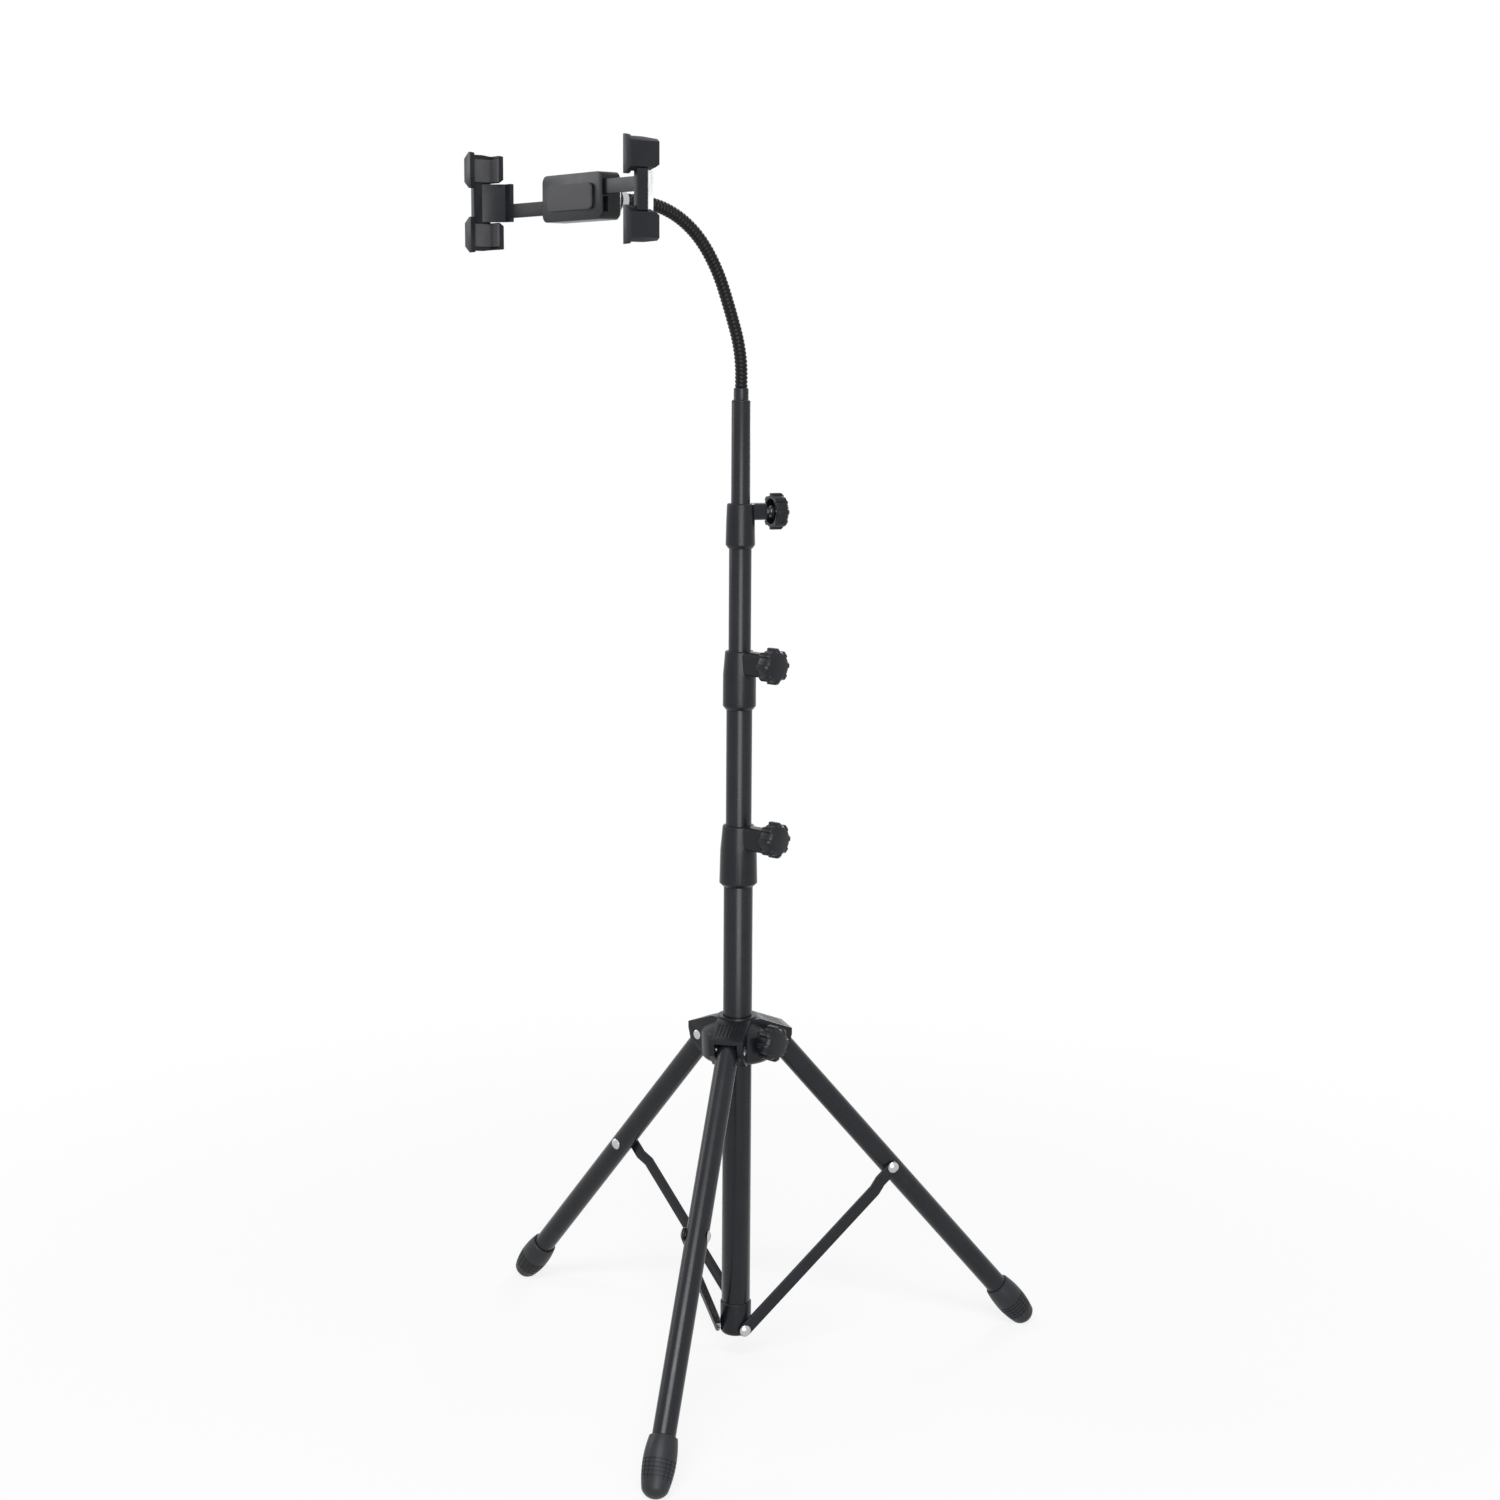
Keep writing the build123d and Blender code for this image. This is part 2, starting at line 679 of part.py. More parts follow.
def hub_pins():
    """The three hinge pins through the forks, domed at both ends."""
    with BuildPart() as pins:
        for bearing in leg_bearings.values():
            plane = upright(bearing)
            centre = plane.from_local_coords((hinge_out, hinge_z, 0))
            section = Plane(origin=centre, x_dir=plane.z_dir, z_dir=plane.x_dir)
            head_end = fork_half_width + hinge_head_height
            out, rise = dome_middle(hinge_head_radius, hinge_head_height)
            with BuildSketch(section):
                with BuildLine():
                    Line((head_end, 0), (-head_end, 0))
                    ThreePointArc((-head_end, 0), (-fork_half_width - rise, out),
                                  (-fork_half_width, hinge_head_radius))
                    Polyline((-fork_half_width, hinge_head_radius), (-fork_half_width, hinge_pin_radius),
                             (fork_half_width, hinge_pin_radius), (fork_half_width, hinge_head_radius))
                    ThreePointArc((fork_half_width, hinge_head_radius), (fork_half_width + rise, out),
                                  (head_end, 0))
                make_face()
            revolve(axis=Axis(centre, plane.z_dir))
    save(pins, "hub_pins")


class NeckPath:
    """The neck's centre line: a straight start, then one arc for each stretch."""

    def __init__(self):
        self.starts = [(0.0, top_tube_z + ferrule_flange, 0.0)]
        out, height, lean = 0.0, top_tube_z + neck_straight, 0.0
        self.starts.append((out, height, lean))
        for length, turn in neck_bends:
            out, height, lean = self.after(out, height, lean, length, turn, length)
            self.starts.append((out, height, lean))

    @staticmethod
    def after(out, height, lean, length, turn, run):
        """The point and lean after a run along a stretch that leans over by its turn."""
        bend = math.radians(turn)
        now = math.radians(lean)
        later = now + bend * run / length
        radius = length / bend
        return (out + radius * (math.cos(now) - math.cos(later)),
                height + radius * (math.sin(later) - math.sin(now)),
                math.degrees(later))

    @staticmethod
    def section(out, height, lean):
        """The plane square to the neck, its x axis always along +X."""
        angle = math.radians(lean)
        return Plane(origin=(0, -out, height), x_dir=(1, 0, 0), z_dir=(0, -math.sin(angle), math.cos(angle)))

    def along(self, index, run):
        """The section plane at a run along a bend; past its end it goes straight on."""
        length, turn = neck_bends[index]
        start = self.starts[index + 1]
        if run <= length:
            return self.section(*self.after(*start, length, turn, run))
        out, height, lean = self.starts[index + 2]
        angle = math.radians(lean)
        rest = run - length
        return self.section(out + rest * math.sin(angle), height + rest * math.cos(angle), lean)

    def hinge(self, index):
        """Where a bend hinges on the stretch before it."""
        return self.section(*self.starts[index + 1]).origin


path = NeckPath()
neck_end_out, neck_end_z, neck_end_lean = path.starts[-1]
head_z = neck_end_z
ball_out = neck_end_out + neck_tail + ball_offset


def rings(start, end, plain_start=0.0, plain_end=0.0):
    """Runs and radii of the neck's rings: four for each rib, none on a plain end."""
    ribbed = end - start - plain_start - plain_end
    count = max(1, round(ribbed / neck_rib_pitch))
    pitch = ribbed / count
    result = [(start, neck_root_radius)]
    radii = (neck_root_radius, neck_radius, neck_radius, neck_root_radius)
    for rib in range(count):
        for share, radius in zip(neck_rib_shares, radii):
            result.append((start + plain_start + (rib + share) * pitch, radius))
    if plain_end:
        result.append((end, neck_root_radius))
    return result


def neck_root():
    """The neck's first stretch, straight up out of its ferrule."""
    sleeve = ferrule_height - ferrule_flange
    length = neck_straight - ferrule_flange - neck_joint_gap
    base = top_tube_z + ferrule_flange
    with BuildPart() as root:
        for run, radius in rings(0, length, plain_start=sleeve):
            with BuildSketch(Plane.XY.offset(base + run)):
                Circle(radius)
        loft(ruled=True)
        with Locations(path.hinge(0)):
            Sphere(neck_joint_radius)
    save(root, "neck_1")


def neck_stretch(index):
    """One bent stretch, with a cup at its start and, but for the last, a ball at its end."""
    length = neck_bends[index][0]
    last = index == len(neck_bends) - 1
    end = length + neck_tail if last else length - neck_joint_gap
    with BuildPart() as stretch:
        for run, radius in rings(neck_joint_gap, end, plain_end=neck_tail if last else 0):
            with BuildSketch(path.along(index, run)):
                Circle(radius)
        loft(ruled=True)
        with Locations(path.hinge(index)):
            Sphere(neck_joint_radius + wall_gap, mode=Mode.SUBTRACT)
        if not last:
            with Locations(path.hinge(index + 1)):
                Sphere(neck_joint_radius)
    save(stretch, "neck_" + str(index + 2))


def neck_ferrule():
    """The turned plug in the top tube, with the sleeve that holds the neck."""
    bore = top_radius - tube_wall
    with BuildPart() as ferrule:
        with BuildSketch(Plane.XZ):
            with BuildLine():
                Polyline((0, top_tube_z - ferrule_spigot), (bore, top_tube_z - ferrule_spigot),
                         (bore, top_tube_z), (top_radius, top_tube_z), (top_radius, top_tube_z + ferrule_round),
                         (top_radius - ferrule_round, top_tube_z + ferrule_flange),
                         (ferrule_radius, top_tube_z + ferrule_flange),
                         (ferrule_radius, top_tube_z + ferrule_height - ferrule_round),
                         (ferrule_radius - ferrule_round, top_tube_z + ferrule_height),
                         (neck_root_radius, top_tube_z + ferrule_height),
                         (neck_root_radius, top_tube_z + ferrule_flange),
                         (0, top_tube_z + ferrule_flange), close=True)
            make_face()
        revolve(axis=Axis.Z)
    save(ferrule, "neck_ferrule")


def head_plane(out):
    """A plane square to the clamp's axis: x is along the arms, y is up, z points to the claws."""
    return Plane(origin=(0, -out, head_z), x_dir=(1, 0, 0), z_dir=(0, -1, 0))


def head_section():
    """A plane through the clamp's axis: x runs from the ball's centre towards the claws, y is outwards."""
    return Plane(origin=(0, -ball_out, head_z), x_dir=(0, -1, 0), z_dir=(0, 0, 1))


def head_axis():
    """The clamp's axis through the ball's centre."""
    return Axis((0, -ball_out, head_z), (0, -1, 0))


def ball_stud():
    """The sleeve on the neck's end and the ball that stands out of it."""
    sleeve_end = -ball_offset
    sleeve_start = sleeve_end - neck_tail
    lip = sleeve_end + ferrule_flange
    with BuildPart() as stud:
        with BuildSketch(head_section()):
            with BuildLine():
                Polyline((0, 0), (sleeve_end, 0), (sleeve_end, neck_root_radius), (sleeve_start, neck_root_radius),
                         (sleeve_start, ferrule_radius - ferrule_round),
                         (sleeve_start + ferrule_round, ferrule_radius), (sleeve_end, ferrule_radius),
                         (lip, ferrule_radius - ferrule_flange), (lip, ball_neck_radius), (0, ball_neck_radius),
                         close=True)
            make_face()
        revolve(axis=head_axis())
        with Locations(head_section().origin):
            Sphere(ball_radius)
    save(stud, "ball_stud")


def ball_seat():
    """The slit ring that seats the ball and turns with it."""
    with BuildPart() as seat:
        with BuildSketch(head_section()):
            Circle(ball_seat_outer)
            Circle(ball_seat_inner, mode=Mode.SUBTRACT)
            with Locations((0, ball_seat_outer / 2)):
                Rectangle(2 * ball_seat_half_width, ball_seat_outer, mode=Mode.INTERSECT)
        revolve(axis=head_axis())
        with BuildSketch(head_plane(ball_out)):
            with Locations((0, ball_seat_outer)):
                Rectangle(bush_slit, 3 * ball_seat_wall)
        extrude(amount=ball_seat_half_width, both=True, mode=Mode.SUBTRACT)
    save(seat, "ball_seat")


def lock_nut():
    """The fluted ring that draws the socket down on the seat."""
    bore = stub_radius + running_gap
    mouth = math.sqrt(socket_radius ** 2 - nut_mouth_depth ** 2)
    with BuildPart() as nut:
        with BuildSketch(head_section()):
            with BuildLine():
                Polyline((-nut_ring_half_width, mouth + nut_mouth_flare), (-nut_mouth_depth, mouth),
                         (0, socket_radius), (0, bore), (nut_ring_half_width, bore),
                         (nut_ring_half_width, nut_ring_radius - nut_ring_bevel),
                         (nut_ring_half_width - nut_ring_bevel, nut_ring_radius),
                         (nut_ring_bevel - nut_ring_half_width, nut_ring_radius),
                         (-nut_ring_half_width, nut_ring_radius - nut_ring_bevel), close=True)
            make_face()
            Circle(socket_radius, mode=Mode.SUBTRACT)
        revolve(axis=head_axis())
        with BuildSketch(head_plane(ball_out - nut_ring_half_width)):
            with PolarLocations(nut_ring_radius + nut_ring_flute_radius / 2, nut_ring_flutes):
                Circle(nut_ring_flute_radius)
        extrude(amount=2 * nut_ring_half_width, mode=Mode.SUBTRACT)
    save(nut, "lock_nut")


def guide_sides():
    """The two guide channels' side of the housing: the right arm's above, the left arm's below."""
    return ((1, plate_offset + plate_height / 2), (-1, -plate_offset - plate_height / 2))


def clamp_housing():
    """The clamp's housing, with the socket's stub behind and a guide channel for each arm in front."""
    with BuildPart() as housing:
        with BuildSketch(head_plane(ball_out + housing_back)):
            RectangleRounded(housing_width, housing_height, housing_round)
        extrude(amount=housing_front - housing_back)
        chamfer(housing.faces().sort_by(Axis.Y)[-1].edges(), housing_bevel)
        with BuildSketch(head_plane(ball_out + stub_start)):
            Circle(stub_radius)
        extrude(amount=housing_back - stub_start)
        with Locations(head_section().origin):
            Sphere(socket_radius, mode=Mode.SUBTRACT)
        for _, centre in guide_sides():
            with BuildSketch(head_plane(ball_out + housing_front - guide_depth)):
                with Locations((0, centre)):
                    Rectangle(housing_width, plate_height + 2 * wall_gap)
            extrude(amount=guide_depth, mode=Mode.SUBTRACT)
    save(housing, "clamp_housing")


def clamp_cover():
    """The flat cover over the guide channels."""
    with BuildPart() as cover:
        with BuildSketch(head_plane(ball_out + housing_front)):
            RectangleRounded(housing_width, housing_height, housing_round)
        extrude(amount=cover_thickness)
    save(cover, "clamp_cover")


def rest_pad():
    """The rubber rest on the cover."""
    with BuildPart() as pad:
        with BuildSketch(head_plane(ball_out + housing_front + cover_thickness)):
            RectangleRounded(rest_pad_width, rest_pad_height, rest_pad_round)
        extrude(amount=rest_pad_thickness)
    save(pad, "rest_pad")


def plan_plane(height):
    """A level plane at a height over the clamp's axis: x is along the arms, y is away from the claws."""
    return Plane(origin=(0, -ball_out, head_z + height), x_dir=(1, 0, 0), z_dir=(0, 0, 1))


def arm(name, side, plate_centre):
    """One arm: the guide plate, the bar and two claws, with the claws' jaws open to the middle."""
    plate_front = housing_front - wall_gap
    plate_back = plate_front - plate_thickness
    wall_in = arm_reach - claw_wall
    claw_front = claw_back + claw_depth
    bend = arm_reach - bar_bend
    with BuildPart() as limb:
        with BuildSketch(head_plane(ball_out + plate_back)):
            with Locations((side * (plate_inner_end + arm_reach - bar_shoulder) / 2, plate_centre)):
                Rectangle(arm_reach - bar_shoulder - plate_inner_end, plate_height)
        extrude(amount=plate_thickness)
        with BuildSketch(plan_plane(-bar_half_height)):
            with BuildLine():
                Polyline((side * (arm_reach - bar_shoulder), -plate_back), (side * bend, -plate_back),
                         (side * arm_reach, -bar_back), (side * arm_reach, -bar_front),
                         (side * wall_in, -bar_front), (side * wall_in, -bar_back - plate_thickness / 2),
                         (side * (bend - plate_thickness / 2), -plate_front),
                         (side * (arm_reach - bar_shoulder), -plate_front), close=True)
            make_face()
        extrude(amount=2 * bar_half_height)
    with BuildPart() as claws:
        for up in (1, -1):
            centre = up * claw_offset
            with BuildSketch(plan_plane(centre - claw_height / 2)):
                with BuildLine():
                    Polyline((side * (arm_reach - claw_jaw), -claw_back), (side * arm_reach, -claw_back),
                             (side * arm_reach, -claw_front), (side * (arm_reach - claw_lip), -claw_front),
                             (side * (arm_reach - claw_lip), -claw_front + claw_lip_thickness),
                             (side * wall_in, -claw_front + claw_lip_thickness),
                             (side * wall_in, -claw_back - claw_jaw_thickness),
                             (side * (arm_reach - claw_jaw), -claw_back - claw_jaw_thickness), close=True)
                make_face()
            extrude(amount=claw_height)
        with BuildSketch(head_plane(ball_out + claw_back)):
            for up in (1, -1):
                top = up * (claw_offset + claw_height / 2)
                foot_end = up * (claw_offset - claw_height / 2)
                with BuildLine():
                    Polyline((side * (arm_reach - claw_jaw), foot_end), (side * (arm_reach - claw_jaw), top),
                             (side * (arm_reach - claw_corner_width), top),
                             (side * arm_reach, top - up * claw_corner_height),
                             (side * arm_reach, foot_end + up * claw_corner_height),
                             (side * (arm_reach - claw_corner_width), foot_end), close=True)
                make_face()
        extrude(amount=claw_depth, mode=Mode.INTERSECT)
        with BuildSketch(Plane(origin=(0, -ball_out, head_z), x_dir=(0, -1, 0), z_dir=(1, 0, 0))) as profile:
            for up in (1, -1):
                top = up * (claw_offset + claw_height / 2)
                foot_end = up * (claw_offset - claw_height / 2)
                with BuildLine():
                    Polyline((claw_back, top - up * claw_back_drop), (claw_front, top), (claw_front, foot_end),
                             (bar_back, foot_end), (claw_back, foot_end + up * claw_heel), close=True)
                make_face()
        extrude(profile.sketch, amount=side * arm_reach, mode=Mode.INTERSECT)
    with BuildPart() as whole:
        add(limb.part)
        add(claws.part)
    save(whole, name)


def arm_pads(name, side):
    """The rubber pads in an arm's two claws: one on each wall and one on each jaw."""
    wall_in = arm_reach - claw_wall
    jaw = claw_back + claw_jaw_thickness
    lip = claw_back + claw_depth - claw_lip_thickness
    pad_height = claw_height - 2 * pad_inset - claw_back_drop - claw_heel / 2
    jaw_pad = claw_jaw - claw_wall - pad_thickness - pad_split
    with BuildPart() as pads:
        for up in (1, -1):
            with BuildSketch(plan_plane(up * claw_offset - pad_height / 2)):
                with Locations((side * (wall_in - pad_thickness / 2), -(jaw + pad_split + lip) / 2)):
                    Rectangle(pad_thickness, lip - jaw - pad_split)
                with Locations((side * (arm_reach - claw_jaw + jaw_pad / 2), -jaw - pad_thickness / 2)):
                    Rectangle(jaw_pad, pad_thickness)
            extrude(amount=pad_height)
    save(pads, name)


housing_front = claw_back - pad_thickness

os.makedirs("parts", exist_ok=True)

mast_set = CollarSet("mast", mast_radius, lower_radius, mast_collar_z, mast_collar_height,
                     mast_collar_top_radius, mast_collar_waist_radius, mast_collar_foot_radius,
                     mast_boss_width, mast_boss_height, mast_boss_end, mast_screw_drop,
                     mast_knob_bearing, mast_knob_back, loose_bush=False)
lower_set = CollarSet("lower", lower_radius, middle_radius, lower_collar_z, lower_collar_height,
                      lower_collar_top_radius, lower_collar_waist_radius, lower_collar_foot_radius,
                      lower_boss_width, lower_boss_height, lower_boss_end, lower_screw_drop,
                      lower_knob_bearing, lower_knob_back, loose_bush=False)
middle_set = CollarSet("middle", middle_radius, top_radius, middle_collar_z, middle_collar_height,
                       middle_collar_top_radius, middle_collar_waist_radius, middle_collar_foot_radius,
                       middle_boss_width, middle_boss_height, middle_boss_end, middle_screw_drop,
                       middle_knob_bearing, middle_knob_back, loose_bush=True)
for collar_set in (mast_set, lower_set, middle_set):
    collar_set.build()

tube("mast_tube", mast_radius, cap_bottom_z + cap_seat_height, mast_set.seat)
tube("lower_tube", lower_radius, lower_set.seat - lower_length, lower_set.seat)
tube("middle_tube", middle_radius, middle_set.seat - middle_length, middle_set.seat)
tube("top_tube", top_radius, top_tube_z - top_length, top_tube_z)
bottom_cap()
cap_rivets()

hub()
hub_pins()
captive_nut("hub_nut", hub_knob_bearing, hub_boss_end - nut_cover - nut_height, hinge_z + hub_knob_rise)
knob_screw("hub_screw", hub_knob_bearing, mast_radius + wall_gap, hub_knob_back, hinge_z + hub_knob_rise)
star_knob("hub_knob", hub_knob_bearing, hub_knob_back, hinge_z + hub_knob_rise)

for leg_name, leg_bearing in leg_bearings.items():
    leg_tube("leg_" + leg_name, leg_bearing)
    foot("foot_" + leg_name, leg_bearing)
    leg_rivet("leg_rivet_" + leg_name, leg_bearing)
    brace("brace_" + leg_name, leg_bearing)
    brace_side_rivet("brace_rivet_" + leg_name, leg_bearing)

neck_ferrule()
neck_root()
for bend_index in range(len(neck_bends)):
    neck_stretch(bend_index)

ball_stud()
ball_seat()
lock_nut()
clamp_housing()
clamp_cover()
rest_pad()
for arm_name, arm_side, arm_up in (("right", 1, 1), ("left", -1, -1)):
    arm("arm_" + arm_name, arm_side, arm_up * (plate_offset + plate_height / 2))
    arm_pads("arm_pads_" + arm_name, arm_side)

print("hinge height", round(hinge_z, 2), "brace length", round(brace_length, 2),
      "brace lean", round(math.degrees(brace_lean), 2), "ball out", round(ball_out, 2), "head height", round(head_z, 2))
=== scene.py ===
"""The dressed model of the adjustable tablet floor stand, built round its CAD frame.

Metres. +Z is up, the origin is on the floor under the mast, and the clamp faces -Y.
"""

import json
import logging
import math
from collections.abc import Callable
from dataclasses import dataclass
from dataclasses import field
from enum import Enum

import bpy
from mathutils import Matrix
from mathutils import Vector

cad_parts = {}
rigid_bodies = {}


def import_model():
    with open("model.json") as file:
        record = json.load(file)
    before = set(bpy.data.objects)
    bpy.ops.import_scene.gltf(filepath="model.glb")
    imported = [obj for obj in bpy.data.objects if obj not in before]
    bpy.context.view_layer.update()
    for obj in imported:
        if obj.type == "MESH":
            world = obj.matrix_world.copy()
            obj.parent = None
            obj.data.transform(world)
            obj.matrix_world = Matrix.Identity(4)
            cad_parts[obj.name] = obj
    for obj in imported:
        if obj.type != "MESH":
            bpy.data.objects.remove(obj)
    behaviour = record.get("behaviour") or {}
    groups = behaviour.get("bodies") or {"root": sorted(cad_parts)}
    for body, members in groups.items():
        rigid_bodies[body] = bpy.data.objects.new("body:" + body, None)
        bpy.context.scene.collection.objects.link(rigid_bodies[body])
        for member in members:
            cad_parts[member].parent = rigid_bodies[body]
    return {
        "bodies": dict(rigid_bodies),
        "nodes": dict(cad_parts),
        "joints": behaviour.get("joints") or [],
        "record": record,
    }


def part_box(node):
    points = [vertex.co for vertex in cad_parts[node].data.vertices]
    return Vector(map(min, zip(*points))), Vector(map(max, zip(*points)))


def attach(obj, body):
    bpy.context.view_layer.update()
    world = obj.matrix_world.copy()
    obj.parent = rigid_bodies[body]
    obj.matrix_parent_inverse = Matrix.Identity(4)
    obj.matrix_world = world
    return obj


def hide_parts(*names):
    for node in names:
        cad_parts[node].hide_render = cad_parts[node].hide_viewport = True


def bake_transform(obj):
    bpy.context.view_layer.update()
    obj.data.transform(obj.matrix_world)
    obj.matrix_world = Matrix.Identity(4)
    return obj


log = logging.getLogger("tablet_stand")

MM = 0.001
MERGE = 1e-6
WHITE = (1.0, 1.0, 1.0, 1.0)
QUARTER_TURN = 90.0
SMOOTH_ANGLE = math.radians(32)

# A face whose normal's height is above the first looks up or down, and below the second to the side.
LEVEL = 0.9
SIDEWAYS = 0.5

GRAIN_HEIGHT = 0.1 * MM
DRIFT_BOUNDS = (0.3, 0.7)
DRIFT_DETAIL = 3.0
DRILL_SIDES = 32

# A leg's hinge, its angle from the mast and the three legs' bearings in degrees.
HINGE_OUT = 34.7 * MM
HINGE_HEIGHT = 290.157 * MM
LEG_SPREAD = math.radians(40.45)
LEG_BEARINGS = {"front": 310.0, "rear": 70.0, "left": 190.0}


class Surface(Enum):
    """How a finish breaks up the light: the detail of its texture's noise."""

    SATIN = 1.0
    POWDER = 2.0
    GRAIN = 4.0


@dataclass(frozen=True)
class Finish:
    """One finish of the stand.

    Attributes:
        slot: the name of the record's material slot that it dresses.
        colour: base colour, as the shader takes it.
        roughness: how matte it is.
        metallic: one for bare metal, else zero.
        specular: the shader's specular level.
        surface: how the surface breaks up the light.
        grain: size of the texture, in repeats per metre.
        depth: strength of the texture.
        variation: how far colour and roughness drift over the surface, as a share.
        patches: size of that drift, in repeats per metre.
    """

    slot: str
    colour: tuple[float, float, float]
    roughness: float
    metallic: float = 0.0
    specular: float = 0.3
    surface: Surface = Surface.GRAIN
    grain: float = 2600.0
    depth: float = 0.15
    variation: float = 0.12
    patches: float = 60.0

    def material(self) -> bpy.types.Material:
        """Make the material, or return it if it is there.

        Returns:
            The finish's material.
        """
        name = self.slot + "_finish"
        if name in bpy.data.materials:
            return bpy.data.materials[name]
        material = bpy.data.materials.new(name)
        material.use_nodes = True
        nodes = material.node_tree.nodes
        links = material.node_tree.links
        shader = nodes["Principled BSDF"]
        shader.inputs["Metallic"].default_value = self.metallic
        shader.inputs["Specular IOR Level"].default_value = self.specular
        coordinates = nodes.new("ShaderNodeTexCoord").outputs["Object"]
        self.texture(nodes, links, coordinates, shader.inputs["Normal"])
        self.drift(nodes, links, coordinates, shader)
        return material

    def texture(self, nodes: bpy.types.Nodes, links: bpy.types.NodeLinks,
                coordinates: bpy.types.NodeSocket, normal: bpy.types.NodeSocket) -> None:
        """The fine grain, as a bump.

        Args:
            nodes: the node tree's nodes.
            links: its links.
            coordinates: the socket that gives the place on the surface.
            normal: the shader's normal socket.
        """
        noise = nodes.new("ShaderNodeTexNoise")
        noise.inputs["Scale"].default_value = self.grain
        noise.inputs["Detail"].default_value = self.surface.value
        bump = nodes.new("ShaderNodeBump")
        bump.inputs["Strength"].default_value = self.depth
        bump.inputs["Distance"].default_value = GRAIN_HEIGHT
        links.new(coordinates, noise.inputs["Vector"])
        links.new(noise.outputs["Fac"], bump.inputs["Height"])
        links.new(bump.outputs["Normal"], normal)

    def drift(self, nodes: bpy.types.Nodes, links: bpy.types.NodeLinks,
              coordinates: bpy.types.NodeSocket, shader: bpy.types.Node) -> None:
        """The slow change of colour and roughness over the surface.

        Args:
            nodes: the node tree's nodes.
            links: its links.
            coordinates: the socket that gives the place on the surface.
            shader: the shader that takes the colour and the roughness.
        """
        noise = nodes.new("ShaderNodeTexNoise")
        noise.inputs["Scale"].default_value = self.patches
        noise.inputs["Detail"].default_value = DRIFT_DETAIL
        links.new(coordinates, noise.inputs["Vector"])
        ramp = nodes.new("ShaderNodeValToRGB")
        polish = nodes.new("ShaderNodeMapRange")
        changes = (-self.variation, self.variation)
        for element, place, change in zip(ramp.color_ramp.elements, DRIFT_BOUNDS, changes):
            element.position = place
            element.color = (*(channel * (1 + change) for channel in self.colour), 1.0)
        polish.inputs["From Min"].default_value = DRIFT_BOUNDS[0]
        polish.inputs["From Max"].default_value = DRIFT_BOUNDS[1]
        polish.inputs["To Min"].default_value = self.roughness * (1 - self.variation)
        polish.inputs["To Max"].default_value = self.roughness * (1 + self.variation)
        links.new(noise.outputs["Fac"], ramp.inputs["Fac"])
        links.new(noise.outputs["Fac"], polish.inputs["Value"])
        links.new(ramp.outputs["Color"], shader.inputs["Base Color"])
        links.new(polish.outputs["Result"], shader.inputs["Roughness"])


TUBE_PAINT = Finish("tube_paint", (0.0088, 0.0103, 0.0130), 0.26, specular=0.26,
                    surface=Surface.POWDER, grain=1400.0, depth=0.02)
MOULDING = Finish("moulding", (0.0072, 0.0086, 0.0112), 0.31, specular=0.24,
                  grain=2400.0, depth=0.05)
NECK_PAINT = Finish("neck_paint", (0.006, 0.006, 0.007), 0.34, specular=0.15,
                    surface=Surface.SATIN, grain=1500.0, depth=0.02)
ZINC = Finish("zinc", (0.50, 0.515, 0.52), 0.27, metallic=1.0, specular=0.5,
              grain=900.0, depth=0.01, variation=0.05, patches=400.0)
FOOT_RUBBER = Finish("foot_rubber", (0.0155, 0.0172, 0.0205), 0.42, specular=0.28, depth=0.06)
PAD_RUBBER = Finish("pad_rubber", (0.060, 0.060, 0.064), 0.60, specular=0.2, depth=0.08)
BUSH_PLASTIC = Finish("bush_plastic", (0.55, 0.55, 0.52), 0.5, depth=0.03, variation=0.04)
FINISHES = {finish.slot: finish for finish in (TUBE_PAINT, MOULDING, NECK_PAINT, ZINC,
                                               FOOT_RUBBER, PAD_RUBBER, BUSH_PLASTIC)}


def clear_selection() -> None:
    """Leave edit mode and select nothing."""
    if bpy.context.object and bpy.context.object.mode != "OBJECT":
        bpy.ops.object.mode_set(mode="OBJECT")
    bpy.ops.object.select_all(action="DESELECT")


def activate(piece: bpy.types.Object) -> None:
    """Select one object alone and make it the active one.

    Args:
        piece: the object.
    """
    clear_selection()
    piece.select_set(True)
    bpy.context.view_layer.objects.active = piece


def edit(piece: bpy.types.Object) -> None:
    """Open an object in edit mode, with all of it selected.

    Args:
        piece: the object.
    """
    activate(piece)
    bpy.ops.object.mode_set(mode="EDIT")
    bpy.ops.mesh.select_mode(type="FACE")
    bpy.ops.mesh.select_all(action="SELECT")


def tidy_normals(piece: bpy.types.Object) -> None:
    """Merge doubles and turn all faces outwards.

    Args:
        piece: the object.
    """
    edit(piece)
    bpy.ops.mesh.remove_doubles(threshold=MERGE)
    bpy.ops.mesh.normals_make_consistent(inside=False)
    bpy.ops.object.mode_set(mode="OBJECT")


def round_edges(piece: bpy.types.Object, width: float, segments: int = 2) -> None:
    """Round an object's sharp edges with an applied bevel, and smooth its shading.

    Args:
        piece: the object.
        width: the bevel's width in metres, or zero for none.
        segments: the number of faces across each edge.
    """
    activate(piece)
    if width:
        bevel = piece.modifiers.new("edges", "BEVEL")
        bevel.width = width
        bevel.segments = segments
        bevel.limit_method = "ANGLE"
        bevel.angle_limit = SMOOTH_ANGLE
        bevel.use_clamp_overlap = True
        bpy.ops.object.modifier_apply(modifier=bevel.name)
    bpy.ops.object.shade_smooth_by_angle(angle=SMOOTH_ANGLE)


